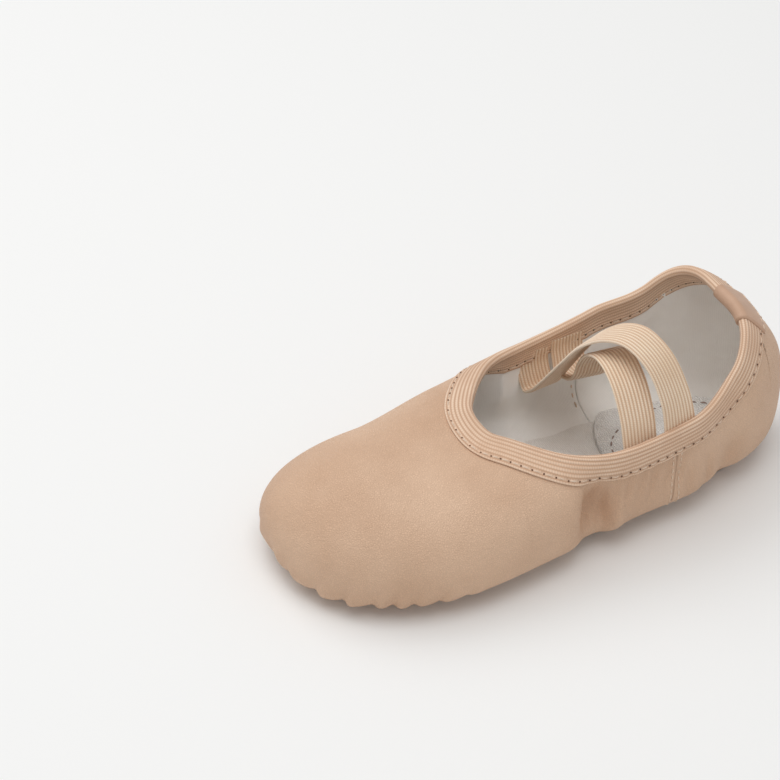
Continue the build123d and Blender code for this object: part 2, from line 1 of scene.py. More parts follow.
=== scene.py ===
import bpy
import math
import numpy as np
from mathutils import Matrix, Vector


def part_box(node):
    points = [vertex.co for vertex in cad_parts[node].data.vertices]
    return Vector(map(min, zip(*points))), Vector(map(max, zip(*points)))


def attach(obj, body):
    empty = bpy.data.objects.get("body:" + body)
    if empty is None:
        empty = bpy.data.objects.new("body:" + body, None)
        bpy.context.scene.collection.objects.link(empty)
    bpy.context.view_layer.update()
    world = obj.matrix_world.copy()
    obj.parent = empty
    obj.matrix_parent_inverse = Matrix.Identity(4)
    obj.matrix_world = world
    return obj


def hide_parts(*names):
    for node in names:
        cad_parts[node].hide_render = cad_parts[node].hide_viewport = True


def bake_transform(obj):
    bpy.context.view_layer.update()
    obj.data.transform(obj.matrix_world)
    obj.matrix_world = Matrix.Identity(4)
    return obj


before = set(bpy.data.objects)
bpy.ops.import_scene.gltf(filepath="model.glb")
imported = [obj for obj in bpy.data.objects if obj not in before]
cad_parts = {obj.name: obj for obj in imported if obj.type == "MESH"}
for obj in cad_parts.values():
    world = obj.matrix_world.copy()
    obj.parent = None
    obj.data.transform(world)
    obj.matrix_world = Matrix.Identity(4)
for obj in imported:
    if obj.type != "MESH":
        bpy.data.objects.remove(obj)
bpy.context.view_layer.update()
print("frame loaded")

mm = 0.001  # the shape functions work in millimetres, and newPiece turns them to metres
vampLow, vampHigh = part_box("vamp")

form = {  # the upper's outside form, with stations measured from the toe's tip
    "length": -2 * vampLow.y / mm,
    "ballHalfWidth": (vampHigh.x - vampLow.x) / 2 / mm,
    "ballStation": 58.0,
    "waistHalfWidth": 33.5,
    "waistFromHeel": 53.0,
    "heelHalfWidth": 29.0,
    "heelFromBack": 32.0,
    "toePlanPower": 2.4,
    "heelPlanPower": 1.8,
    "toeSweep": 9.0,
    "toeTipHeight": 12.0,
    "toeBoxHeight": 37.0,
    "toeBoxStation": 42.0,
    "toeRisePower": 2.3,
    "toeSpringLength": 15.0,
    "heelBulgeHeight": 22.0,
    "heelCrownHeight": 64.5,
    "heelRoundFromBack": 44.0,
    "heelRisePower": 2.2,
    "heelSpringLength": 13.0,
    "toeTopPower": 2.05,
    "heelTopPower": 3.3,
    "solePower": 3.2,
    "soleLift": 1.6,
    "throatStation": 72.0,
    "throatHeight": 41.0,
    "throatLength": 50.0,
    "throatHalfWidth": 36.0,
}
shoeLength = form["length"]
waistStation = shoeLength - form["waistFromHeel"]
heelStation = shoeLength - form["heelFromBack"]
heelRoundStation = shoeLength - form["heelRoundFromBack"]
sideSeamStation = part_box("vamp")[1].y / mm + shoeLength / 2

topline = {  # side profile of the foot opening's edge: stations and heights
    "stations": [12.0, 72.0, 115.0, shoeLength - 42, shoeLength - 18, shoeLength + 10],
    "heights": [42.5, 40.0, 39.4, 44.5, 56.0, 58.6],
}


def smoothStep(start, end, share):
    share = np.clip(share, 0, 1)
    return start + (end - start) * share * share * (3 - 2 * share)


def rounded(share, power):  # a quarter of a superellipse, 0 at its tip and 1 where it is full
    share = np.clip(share, 0, 1)
    return (1 - (1 - share) ** power) ** (1 / power)


def halfWidth(station, inset):
    ball, waist, heel = form["ballHalfWidth"], form["waistHalfWidth"], form["heelHalfWidth"]
    ballStation = form["ballStation"]
    back = shoeLength - inset
    toe = (ball - inset) * rounded((station - inset) / (ballStation - inset), form["toePlanPower"])
    middle = smoothStep(ball, waist, (station - ballStation) / (waistStation - ballStation)) - inset
    rear = smoothStep(waist, heel, (station - waistStation) / (heelStation - waistStation)) - inset
    end = (heel - inset) * rounded((back - station) / (back - heelStation), form["heelPlanPower"])
    return np.where(station < ballStation, toe,
                    np.where(station < waistStation, middle, np.where(station < heelStation, rear, end)))


def topPower(station):
    start = form["toeBoxStation"]
    return smoothStep(form["toeTopPower"], form["heelTopPower"], (station - start) / (waistStation - start))


def crownHeight(station, inset):
    tip, box, throat = form["toeTipHeight"], form["toeBoxHeight"], form["throatHeight"]
    boxStation, throatStation = form["toeBoxStation"], form["throatStation"]
    bulge, crown = form["heelBulgeHeight"], form["heelCrownHeight"]
    back = shoeLength - inset
    toe = tip + (box - inset - tip) * rounded((station - inset) / (boxStation - inset), form["toeRisePower"])
    middle = smoothStep(box, throat, (station - boxStation) / (throatStation - boxStation)) - inset
    rear = smoothStep(throat, crown, (station - throatStation) / (heelRoundStation - throatStation)) - inset
    fall = rounded((back - station) / (back - heelRoundStation), form["heelRisePower"])
    end = bulge + (crown - inset - bulge) * fall
    return np.where(station < boxStation, toe,
                    np.where(station < throatStation, middle, np.where(station < heelRoundStation, rear, end)))


def soleHeight(station, inset):
    flat = form["soleLift"] + inset
    front = 1 - rounded((station - inset) / (form["toeSpringLength"] - inset), 2)
    rear = 1 - rounded((shoeLength - inset - station) / (form["heelSpringLength"] - inset), 2)
    return np.where(station < shoeLength / 2, flat + (form["toeTipHeight"] - flat) * front,
                    flat + (form["heelBulgeHeight"] - flat) * rear)


def widestHeight(station, inset):
    sole = soleHeight(station, inset)
    depth = crownHeight(station, inset) - sole
    height = smoothStep(form["toeTipHeight"], form["heelBulgeHeight"], station / shoeLength)
    return np.clip(height, sole + 0.2 * depth, sole + 0.8 * depth)


def centreOffset(station):
    return -form["toeSweep"] * np.maximum(1 - station / form["ballStation"], 0.0) ** 2


def sectionPoints(station, angle, inset):  # angle in radians: 0 at the +X side, a quarter turn at the top
    station, angle = np.broadcast_arrays(np.asarray(station, float), np.asarray(angle, float))
    across, upward = np.cos(angle), np.sin(angle)
    widest = widestHeight(station, inset)
    power = np.where(upward >= 0, topPower(station), form["solePower"])
    reach = np.where(upward >= 0, crownHeight(station, inset) - widest, widest - soleHeight(station, inset))
    x = centreOffset(station) + np.sign(across) * np.abs(across) ** (2 / power) * halfWidth(station, inset)
    z = widest + reach * np.sign(upward) * np.abs(upward) ** (2 / power)
    return np.stack([x, station - shoeLength / 2, z], -1)


def formValue(points, inset):  # under 1 inside the form and over 1 outside it
    station = np.clip(points[..., 1] + shoeLength / 2, inset + 0.02, shoeLength - inset - 0.02)
    widest = widestHeight(station, inset)
    above = points[..., 2] >= widest
    power = np.where(above, topPower(station), form["solePower"])
    reach = np.where(above, crownHeight(station, inset) - widest, widest - soleHeight(station, inset))
    across = np.abs(points[..., 0] - centreOffset(station)) / np.maximum(halfWidth(station, inset), 0.05)
    upright = np.abs(points[..., 2] - widest) / np.maximum(reach, 0.05)
    return (across**power + upright**power) ** (1 / power)


def formGradient(points, inset):
    step = 0.08
    shifts = np.eye(3) * step
    rises = [formValue(points + shift, inset) - formValue(points - shift, inset) for shift in shifts]
    return np.stack([rise / (2 * step) for rise in rises], -1)


def outward(points, inset):
    gradient = formGradient(points, inset)
    return gradient / np.maximum(np.linalg.norm(gradient, axis=-1, keepdims=True), 1e-9)


def ontoForm(points, inset):
    for _ in range(6):
        gradient = formGradient(points, inset)
        size = np.maximum((gradient**2).sum(-1, keepdims=True), 1e-6)
        step = (formValue(points, inset) - 1)[..., None] * gradient / size
        points = points - np.clip(step, -1.5, 1.5)
    return points


profileStations = np.array(topline["stations"])
profileHeights = np.array(topline["heights"])


def profileHeight(station):  # cubic through the profile's points, with slopes taken from their neighbours
    x, y = profileStations, profileHeights
    slopes = np.gradient(y, x)
    i = np.clip(np.searchsorted(x, station) - 1, 0, len(x) - 2)
    run = x[i + 1] - x[i]
    t = (station - x[i]) / run
    return ((2 * t**3 - 3 * t**2 + 1) * y[i] + (t**3 - 2 * t**2 + t) * run * slopes[i]
            + (-2 * t**3 + 3 * t**2) * y[i + 1] + (t**3 - t**2) * run * slopes[i + 1])


def edgeAngle(station, inset, drop):  # angle of the opening's edge on the +X side of a section
    widest = widestHeight(station, inset)
    depth = np.maximum(crownHeight(station, inset) - widest, 0.01)
    power = topPower(station)
    rise = np.clip((profileHeight(station) - drop - widest) / depth, 0, 1)
    wall = (1 - rise**power) ** (1 / power)
    throat = (form["throatHalfWidth"] + drop) * rounded(
        (station - form["throatStation"] + drop) / (form["throatLength"] + drop), 2)
    throat = np.clip(throat / np.maximum(halfWidth(station, inset), 0.05), 0, 1)
    soft = 0.05  # the throat's round runs softly into the side
    both = np.minimum(wall, throat) - 0.25 * np.maximum(soft - np.abs(wall - throat), 0) ** 2 / soft
    return np.arccos(np.clip(both, 0, 1) ** (power / 2))


# Soft places in the upper, the same for every layer: where, how wide along, across and up, and which way
dents = [
    {"at": (36, 4, 19), "size": (14, 6.5, 11), "move": (-8.0, 0, 0)},
    {"at": (35, 11, 16), "size": (12, 4, 9), "move": (3.2, 0, 0)},
    {"at": (35, -5, 22), "size": (12, 4, 10), "move": (1.6, 0, 0)},
    {"at": (27, 59, 16), "size": (12, 4, 9), "move": (-2.2, -0.6, 0)},
    {"at": (-35, 6, 20), "size": (14, 9, 12), "move": (5.0, 0, 0)},
    {"at": (-32, 36, 22), "size": (14, 10, 14), "move": (1.6, 0, 0)},
    {"at": (10, -43, 41), "size": (22, 20, 16), "move": (0, 0, -1.2)},
    {"at": (-12, -60, 35), "size": (16, 12, 14), "move": (0, 0, 1.0)},
    {"at": (6, -26, 43), "size": (26, 7, 14), "move": (0, 0, -1.4)},
    {"at": (-3, -15, 42), "size": (44, 16, 11), "move": (-3.2, 0, 0)},
    {"at": (0, 76, 58), "size": (36, 17, 20), "move": (-4.5, -3.0, 2.4)},
    {"at": (35, 0.5, 21), "size": (12, 1.5, 8), "move": (-2.2, 0, 0)},
    {"at": (35, 8.0, 17), "size": (12, 1.3, 8), "move": (-1.8, 0, 0)},
    {"at": (35, 4.0, 14), "size": (12, 1.4, 5), "move": (1.6, 0, 0)},
    {"at": (29, 76, 2), "size": (17, 24, 15), "move": (-1.2, -0.8, 0.6)},
    {"at": (30, 48, 17), "size": (12, 1.6, 8), "move": (-1.3, 0, 0)},
    {"at": (29, 40, 18), "size": (12, 1.4, 7), "move": (-1.0, 0, 0)},
]
pleats = {
    "middle": (0.0, 46.0),  # x and station that the pleats fan out from
    "degrees": [-74, -56, -41, -27, -12, 3, 17, 30, 43, 55, 67, 80, 93],
    "depths": [1.1, 1.3, 1.6, 1.4, 1.8, 1.9, 2.1, 2.6, 1.9, 2.4, 1.8, 1.6, 1.1],
    "width": 2.4,  # degrees
    "bulge": 0.7,
    "top": 17.0,
}
puckers = {
    "stations": [97, 103.5, 108, 113.5, 118, 124, 129],
    "depths": [0.9, 0.7, 1.0, 0.7, 0.9, 0.8, 1.0],
    "width": 1.3,
}


def softShape(points):
    points = points.copy()
    moved = np.zeros_like(points)
    for dent in dents:
        away = (points - np.array(dent["at"], float)) / np.array(dent["size"], float)
        moved += np.exp(-(away**2).sum(-1))[..., None] * np.array(dent["move"], float)
    x, y, z = points[..., 0], points[..., 1], points[..., 2]
    station = y + shoeLength / 2
    # pleats that gather the toe, strongest just above the floor
    turn = np.degrees(np.arctan2(x - pleats["middle"][0], pleats["middle"][1] - station))
    near = np.clip(1 - (z - 1.5) / pleats["top"], 0, 1) ** 1.6 * smoothStep(0.25, 1, (z - 0.5) / 3.5)
    near = near * smoothStep(1, 0, (np.abs(turn) - 96) / 14)
    push = np.zeros_like(x)
    for place, depth in zip(pleats["degrees"], pleats["depths"]):
        bend = turn - place - 3.0 * np.sin(z / 6.0 + place)
        ridge = pleats["bulge"] * np.exp(-((bend - 5) / 4.2) ** 2)
        push += depth * (ridge - np.exp(-(bend / pleats["width"]) ** 2))
    radial = np.stack([x - pleats["middle"][0], station - pleats["middle"][1], np.zeros_like(x)], -1)
    radial /= np.maximum(np.linalg.norm(radial, axis=-1, keepdims=True), 1.0)
    moved += (push * near)[..., None] * radial
    # puckers that the binding draws up in the sides
    hang = np.exp(-((z - 24) / 7.5) ** 2) * smoothStep(0, 1, (np.abs(x) - 18) / 8)
    for place, depth in zip(puckers["stations"], puckers["depths"]):
        lean = station - place - 0.12 * (z - 24)
        moved[..., 0] -= np.sign(x) * depth * hang * np.exp(-(lean / puckers["width"]) ** 2)
    # slow unevenness of soft leather
    wave = 0.35 * np.sin(x / 11 + 1.3) * np.sin(y / 13 + 0.4) + 0.22 * np.sin(x / 5.3 - y / 7.1 + z / 6.0)
    return points + moved + outwardFlat(points) * wave[..., None]


def outwardFlat(points):
    direction = points * np.array([1.0, 0.35, 0.8]) - np.array([0, 0, 12.0])
    direction /= np.maximum(np.linalg.norm(direction, axis=-1, keepdims=True), 1.0)
    return direction * smoothStep(0, 1, (points[..., 2:] - 3) / 8)


def newPiece(name, points, faces, material, weave=None, smooth=True):
    mesh = bpy.data.meshes.new(name)
    mesh.from_pydata((np.asarray(points, float).reshape(-1, 3) * mm).tolist(), [], faces)
    mesh.update()
    if weave is not None:  # distances along and across the cloth, in millimetres
        layer = mesh.uv_layers.new(name="weave")
        loops = np.zeros(len(mesh.loops), np.int32)
        mesh.loops.foreach_get("vertex_index", loops)
        layer.data.foreach_set("uv", np.asarray(weave, float).reshape(-1, 2)[loops].ravel())
    mesh.materials.append(material)
    mesh.polygons.foreach_set("use_smooth", [smooth] * len(mesh.polygons))
    piece = bpy.data.objects.new(name, mesh)
    bpy.context.scene.collection.objects.link(piece)
    return piece


def gridFaces(rows, columns, start=0, closeRows=False, closeColumns=False, flip=False):
    faces = []
    for i in range(rows if closeRows else rows - 1):
        for j in range(columns if closeColumns else columns - 1):
            a = start + i * columns + j
            b = start + i * columns + (j + 1) % columns
            c = start + (i + 1) % rows * columns + (j + 1) % columns
            d = start + (i + 1) % rows * columns + j
            faces.append((d, c, b, a) if flip else (a, b, c, d))
    return faces


def rimFaces(loopA, loopB, closed=False):
    faces = []
    last = len(loopA) if closed else len(loopA) - 1
    for i in range(last):
        k = (i + 1) % len(loopA)
        faces.append((loopA[i], loopA[k], loopB[k], loopB[i]))
    return faces


# Two faces of a sheet, joined round its edge
def sheetPiece(name, top, bottom, material, weave, closeRows=False):
    rows, columns = top.shape[:2]
    shut = np.linalg.norm(top[:, 0] - top[:, -1], axis=-1) < 0.01
    total = rows * columns
    faces = gridFaces(rows, columns, closeRows=closeRows)
    faces += gridFaces(rows, columns, total, closeRows, flip=True)
    if closeRows:
        for j in (0, columns - 1):
            edge = [i * columns + j for i in range(rows)]
            faces += rimFaces(edge, [total + k for k in edge], closed=True)
    else:
        border = (list(range(columns)) + [i * columns + columns - 1 for i in range(1, rows)]
                  + [(rows - 1) * columns + j for j in range(columns - 2, -1, -1)]
                  + [i * columns for i in range(rows - 2, 0, -1)])
        rim = rimFaces(border, [total + k for k in border], closed=True)
        for face in rim:
            a, b = face[0] // columns, face[1] // columns
            closed = shut[a] and shut[b]  # the sheet's two faces already meet here
            toeRow = a == 0 and abs(face[0] - face[1]) == 1 and top[0].std(0).max() < 0.01
            if not (closed and (a != b or toeRow)):
                faces.append(face)
    points = np.concatenate([top.reshape(-1, 3), bottom.reshape(-1, 3)])
    weave = np.asarray(weave, float).reshape(-1, 2)
    return tidyMesh(newPiece(name, points, faces, material, np.concatenate([weave, weave])), 0.005)


def tidyMesh(piece, distance=0.02):
    import bmesh
    work = bmesh.new()
    work.from_mesh(piece.data)
    bmesh.ops.remove_doubles(work, verts=work.verts, dist=distance * mm)
    bmesh.ops.dissolve_degenerate(work, edges=work.edges, dist=1e-6)
    bmesh.ops.recalc_face_normals(work, faces=work.faces)
    work.to_mesh(piece.data)
    work.free()
    piece.data.polygons.foreach_set("use_smooth", [True] * len(piece.data.polygons))
    return piece


def clearMaterial(name):
    material = bpy.data.materials.new(name)
    material.use_nodes = True
    tree = material.node_tree
    shader = tree.nodes["Principled BSDF"]
    return material, tree, shader


def addNode(tree, kind, inputs=None, **settings):
    node = tree.nodes.new(kind)
    for key, value in settings.items():
        setattr(node, key, value)
    for key, value in (inputs or {}).items():
        if isinstance(value, bpy.types.NodeSocket):
            tree.links.new(value, node.inputs[key])
        else:
            node.inputs[key].default_value = value
    return node


def newGroup(name, inputs, outputs):
    group = bpy.data.node_groups.new(name, "ShaderNodeTree")
    for label, kind, value in inputs:
        socket = group.interface.new_socket(label, in_out="INPUT", socket_type=kind)
        if value is not None:
            socket.default_value = value
    for label, kind in outputs:
        group.interface.new_socket(label, in_out="OUTPUT", socket_type=kind)
    start = group.nodes.new("NodeGroupInput")
    end = group.nodes.new("NodeGroupOutput")
    return group, start.outputs, end.inputs


def useGroup(tree, group, inputs=None):
    return addNode(tree, "ShaderNodeGroup", inputs, node_tree=group)


def calculate(tree, operation, *values):
    return addNode(tree, "ShaderNodeMath", dict(enumerate(values)), operation=operation).outputs["Value"]


def remap(tree, value, fromMin=0.0, fromMax=1.0, toMin=0.0, toMax=1.0):
    limits = {"Value": value, "From Min": fromMin, "From Max": fromMax, "To Min": toMin, "To Max": toMax}
    return addNode(tree, "ShaderNodeMapRange", limits).outputs["Result"]


def bumped(tree, shader, strength, height):
    bump = addNode(tree, "ShaderNodeBump", {"Strength": strength, "Distance": 0.0003, "Height": height})
    tree.links.new(bump.outputs["Normal"], shader.inputs["Normal"])


def mixColours(tree, first, second, factor=1.0, blend="MIX"):
    mixed = {0: factor, 6: first, 7: second}
    return addNode(tree, "ShaderNodeMix", mixed, data_type="RGBA", blend_type=blend).outputs[2]


def makeMottle():  # slow variation between two tones
    group, given, out = newGroup("mottle", [
        ("Place", "NodeSocketVector", None),
        ("Scale", "NodeSocketFloat", 40.0),
        ("Detail", "NodeSocketFloat", 3.0),
        ("Low", "NodeSocketColor", (0.5, 0.4, 0.3, 1)),
        ("High", "NodeSocketColor", (0.6, 0.5, 0.4, 1)),
    ], [("Color", "NodeSocketColor"), ("Mask", "NodeSocketFloat")])
    wanted = {"Vector": given["Place"], "Scale": given["Scale"], "Detail": given["Detail"]}
    noise = addNode(group, "ShaderNodeTexNoise", wanted)
    spread = remap(group, noise.outputs["Fac"], 0.32, 0.68)
    group.links.new(mixColours(group, given["Low"], given["High"], spread), out["Color"])
    group.links.new(spread, out["Mask"])
    return group


def makeHideGrain():  # fine pebbled leather, with long soft creases
    group, given, out = newGroup("hideGrain", [
        ("Place", "NodeSocketVector", None),
        ("Pebble", "NodeSocketFloat", 1500.0),
        ("Crease", "NodeSocketFloat", 220.0),
    ], [("Height", "NodeSocketFloat"), ("Pores", "NodeSocketFloat")])
    pebble = {"Vector": given["Place"], "Scale": given["Pebble"]}
    crease = {"Vector": given["Place"], "Scale": given["Crease"], "Detail": 5.0, "Roughness": 0.62, "Distortion": 0.6}
    cells = addNode(group, "ShaderNodeTexVoronoi", pebble, feature="DISTANCE_TO_EDGE")
    soft = remap(group, cells.outputs["Distance"], 0.0, 0.25)
    fine = addNode(group, "ShaderNodeTexNoise", {**pebble, "Detail": 2.0})
    long = addNode(group, "ShaderNodeTexNoise", crease)
    pebbles = calculate(group, "MULTIPLY_ADD", soft, 0.45, fine.outputs["Fac"])
    group.links.new(calculate(group, "MULTIPLY_ADD", long.outputs["Fac"], 1.5, pebbles), out["Height"])
    group.links.new(soft, out["Pores"])
    return group


def makeRibKnit():  # knitted elastic: ribs along the band and small knit stitches on each rib
    group, given, out = newGroup("ribKnit", [
        ("Weave", "NodeSocketVector", None),
        ("Rib Pitch", "NodeSocketFloat", 1.6),
        ("Stitch Pitch", "NodeSocketFloat", 0.8),
    ], [("Height", "NodeSocketFloat"), ("Rib", "NodeSocketFloat"), ("Stitch", "NodeSocketFloat")])
    parts = addNode(group, "ShaderNodeSeparateXYZ", {0: given["Weave"]})
    across = calculate(group, "DIVIDE", parts.outputs["Y"], given["Rib Pitch"])
    wave = calculate(group, "COSINE", calculate(group, "MULTIPLY", across, 2 * math.pi))
    rib = remap(group, wave, -1.0, 0.6)
    offset = calculate(group, "MULTIPLY", calculate(group, "ROUND", across), 0.5)
    along = calculate(group, "DIVIDE", parts.outputs["X"], given["Stitch Pitch"])
    turn = calculate(group, "MULTIPLY", calculate(group, "ADD", along, offset), 2 * math.pi)
    stitch = remap(group, calculate(group, "SINE", turn), -1.0)
    group.links.new(calculate(group, "MULTIPLY_ADD", stitch, 0.35, rib), out["Height"])
    group.links.new(rib, out["Rib"])
    group.links.new(stitch, out["Stitch"])
    return group


def makePlainWeave():  # plain cloth: threads over and under each other
    group, given, out = newGroup("plainWeave", [
        ("Weave", "NodeSocketVector", None),
        ("Thread Pitch", "NodeSocketFloat", 0.7),
    ], [("Height", "NodeSocketFloat"), ("Over", "NodeSocketFloat")])
    halfTurns = {0: given["Weave"], 1: (math.pi, math.pi, 0)}
    scaled = addNode(group, "ShaderNodeVectorMath", halfTurns, operation="MULTIPLY")
    pitched = addNode(group, "ShaderNodeVectorMath", {0: scaled.outputs["Vector"]}, operation="SCALE")
    group.links.new(calculate(group, "DIVIDE", 1.0, given["Thread Pitch"]), pitched.inputs["Scale"])
    parts = addNode(group, "ShaderNodeSeparateXYZ", {0: pitched.outputs["Vector"]})
    lengthwise = calculate(group, "SINE", parts.outputs["X"])
    crosswise = calculate(group, "SINE", parts.outputs["Y"])
    product = calculate(group, "MULTIPLY", lengthwise, crosswise)
    group.links.new(calculate(group, "ABSOLUTE", product), out["Height"])
    group.links.new(remap(group, product, -0.4, 0.4), out["Over"])
    return group


mottle = makeMottle()
hideGrain = makeHideGrain()
ribKnit = makeRibKnit()
plainWeave = makePlainWeave()


def linear(r, g, b):  # a display colour out of 255, as the shader wants it
    shares = [c / 255 for c in (r, g, b)]
    return tuple(((c + 0.055) / 1.055) ** 2.4 if c > 10 / 255 else c / 12.92 for c in shares) + (1.0,)


def leatherMaterial(name, look):
    material, tree, shader = clearMaterial(name)
    place = addNode(tree, "ShaderNodeTexCoord").outputs["Object"]
    grain = useGroup(tree, hideGrain, {"Place": place, "Pebble": look["pebble"], "Crease": look["crease"]})
    tones = {"Place": place, "Scale": look["patch"], "Low": look["low"], "High": look["high"]}
    tone = useGroup(tree, mottle, tones)
    pores = remap(tree, grain.outputs["Pores"], toMin=look["poreShade"])
    colour = mixColours(tree, tone.outputs["Color"], pores, blend="MULTIPLY")
    tree.links.new(colour, shader.inputs["Base Color"])
    rough = remap(tree, tone.outputs["Mask"], toMin=look["rough"], toMax=look["rough"] + 0.1)
    tree.links.new(rough, shader.inputs["Roughness"])
    bumped(tree, shader, look["bump"], grain.outputs["Height"])
    shader.inputs["Specular IOR Level"].default_value = look["gloss"]
    shader.inputs["Sheen Weight"].default_value = look["sheen"]
    shader.inputs["Sheen Roughness"].default_value = 0.5
    return material


def elasticMaterial(name, look):
    material, tree, shader = clearMaterial(name)
    weave = addNode(tree, "ShaderNodeUVMap", uv_map="weave").outputs["UV"]
    place = addNode(tree, "ShaderNodeTexCoord").outputs["Object"]
    pitches = {"Weave": weave, "Rib Pitch": look["ribPitch"], "Stitch Pitch": look["stitchPitch"]}
    knit = useGroup(tree, ribKnit, pitches)
    tone = useGroup(tree, mottle, {"Place": place, "Scale": 90.0, "Low": look["low"], "High": look["high"]})
    # painted shade: the grooves between the ribs, and the low parts of each knit stitch, are coloured darker
    ribGrooveShade = mixColours(tree, look["ribGrooveShade"], tone.outputs["Color"], knit.outputs["Rib"])
    dot = remap(tree, knit.outputs["Stitch"], toMin=0.9, toMax=1.03)
    tree.links.new(mixColours(tree, ribGrooveShade, dot, blend="MULTIPLY"), shader.inputs["Base Color"])
    rough = remap(tree, knit.outputs["Rib"], toMin=0.9, toMax=0.68)
    tree.links.new(rough, shader.inputs["Roughness"])
    bumped(tree, shader, look["bump"], knit.outputs["Height"])
    shader.inputs["Specular IOR Level"].default_value = 0.3
    shader.inputs["Sheen Weight"].default_value = 0.15
    return material


def clothMaterial(name, look):
    material, tree, shader = clearMaterial(name)
    weave = addNode(tree, "ShaderNodeUVMap", uv_map="weave").outputs["UV"]
    place = addNode(tree, "ShaderNodeTexCoord").outputs["Object"]
    threads = useGroup(tree, plainWeave, {"Weave": weave, "Thread Pitch": look["threadPitch"]})
    tones = {"Place": place, "Scale": look["patch"], "Detail": 5.0, "Low": look["low"], "High": look["high"]}
    tone = useGroup(tree, mottle, tones)
    shade = remap(tree, threads.outputs["Height"], toMin=look["gapShade"], toMax=1.02)
    colour = mixColours(tree, tone.outputs["Color"], shade, blend="MULTIPLY")
    tree.links.new(colour, shader.inputs["Base Color"])
    rough = remap(tree, threads.outputs["Over"], toMin=0.82, toMax=0.95)
    tree.links.new(rough, shader.inputs["Roughness"])
    nap = addNode(tree, "ShaderNodeTexNoise", {"Vector": place, "Scale": look["nap"], "Detail": 4.0})
    height = calculate(tree, "MULTIPLY_ADD", nap.outputs["Fac"], look["napHeight"], threads.outputs["Height"])
    bumped(tree, shader, look["bump"], height)
    shader.inputs["Specular IOR Level"].default_value = 0.2
    shader.inputs["Sheen Weight"].default_value = 0.2
    return material


softLeather = leatherMaterial("softLeather", {
    "low": linear(212, 174, 144), "high": linear(229, 194, 165), "pebble": 1500.0, "crease": 240.0, "patch": 26.0,
    "poreShade": 0.88, "rough": 0.48, "bump": 0.7, "gloss": 0.3, "sheen": 0.0})
tabLeather = leatherMaterial("tabLeather", {
    "low": linear(186, 148, 121), "high": linear(204, 168, 142), "pebble": 1900.0, "crease": 300.0, "patch": 60.0,
    "poreShade": 0.95, "rough": 0.42, "bump": 0.25, "gloss": 0.45, "sheen": 0.05})
soleSuede = leatherMaterial("soleSuede", {
    "low": linear(176, 140, 116), "high": linear(198, 164, 140), "pebble": 2600.0, "crease": 700.0, "patch": 60.0,
    "poreShade": 0.8, "rough": 0.86, "bump": 0.6, "gloss": 0.15, "sheen": 0.4})
# the darker groove colours below are painted shade between the ribs
bindingElastic = elasticMaterial("bindingElastic", {
    "low": linear(224, 190, 162), "high": linear(238, 209, 183), "ribGrooveShade": linear(202, 163, 134),
    "ribPitch": 1.37, "stitchPitch": 0.75, "bump": 0.4})
strapElastic = elasticMaterial("strapElastic", {
    "low": linear(240, 215, 188), "high": linear(248, 228, 205), "ribGrooveShade": linear(214, 178, 146),
    "ribPitch": 1.24, "stitchPitch": 0.7, "bump": 0.4})
liningCloth = clothMaterial("liningCloth", {
    "low": linear(243, 238, 232), "high": linear(251, 248, 243), "threadPitch": 0.5, "patch": 60.0,
    "gapShade": 0.95, "nap": 900.0, "napHeight": 1.0, "bump": 0.25})
insoleCanvas = clothMaterial("insoleCanvas", {
    "low": linear(239, 232, 224), "high": linear(249, 244, 238), "threadPitch": 0.62, "patch": 90.0,
    "gapShade": 0.86, "nap": 1200.0, "napHeight": 1.2, "bump": 0.5})
terryCloth = clothMaterial("terryCloth", {
    "low": linear(241, 237, 232), "high": linear(251, 248, 244), "threadPitch": 0.9, "patch": 240.0,
    "gapShade": 0.85, "nap": 700.0, "napHeight": 2.5, "bump": 0.8})
sewingThread = clothMaterial("sewingThread", {
    "low": linear(232, 204, 178), "high": linear(242, 218, 196), "threadPitch": 0.25, "patch": 300.0,
    "gapShade": 0.85, "nap": 2500.0, "napHeight": 0.6, "bump": 0.4})
darkThread = clothMaterial("darkThread", {
    "low": linear(150, 128, 120), "high": linear(176, 152, 142), "threadPitch": 0.25, "patch": 300.0,
    "gapShade": 0.8, "nap": 2500.0, "napHeight": 0.6, "bump": 0.4})
# the needle holes' dark colour is painted shade inside the pits
needleShade = clothMaterial("needleShade", {
    "low": linear(98, 66, 48), "high": linear(122, 86, 64), "threadPitch": 0.3, "patch": 300.0,
    "gapShade": 0.9, "nap": 2500.0, "napHeight": 0.4, "bump": 0.2})
print("materials made")


def evenRow(points, count):  # the same line with evenly spaced points
    runs = np.linalg.norm(np.diff(points, axis=0), axis=1)
    walked = np.concatenate([[0], np.cumsum(runs)])
    places = np.linspace(0, walked[-1], count)
    return np.stack([np.interp(places, walked, points[:, k]) for k in range(3)], -1)


# From the opening's edge, or the crown, down to the middle of the sole
def halfRow(station, inset, drop, count):
    top = float(edgeAngle(np.array(station), inset, drop))
    share = np.linspace(0, 1, 260)
    angle = top + (-math.pi / 2 - top) * share
    return evenRow(sectionPoints(station, angle, inset), count)


def mirrored(row, station):
    middle = float(centreOffset(np.array(station)))
    other = row.copy()
    other[:, 0] = 2 * middle - other[:, 0]
    return other


def skinRow(station, inset, drop, count, side):
    right = halfRow(station, inset, drop, count)
    if side > 0:
        return right
    left = mirrored(right, station)
    if side < 0:
        return left
    return np.concatenate([right, left[-2::-1]])


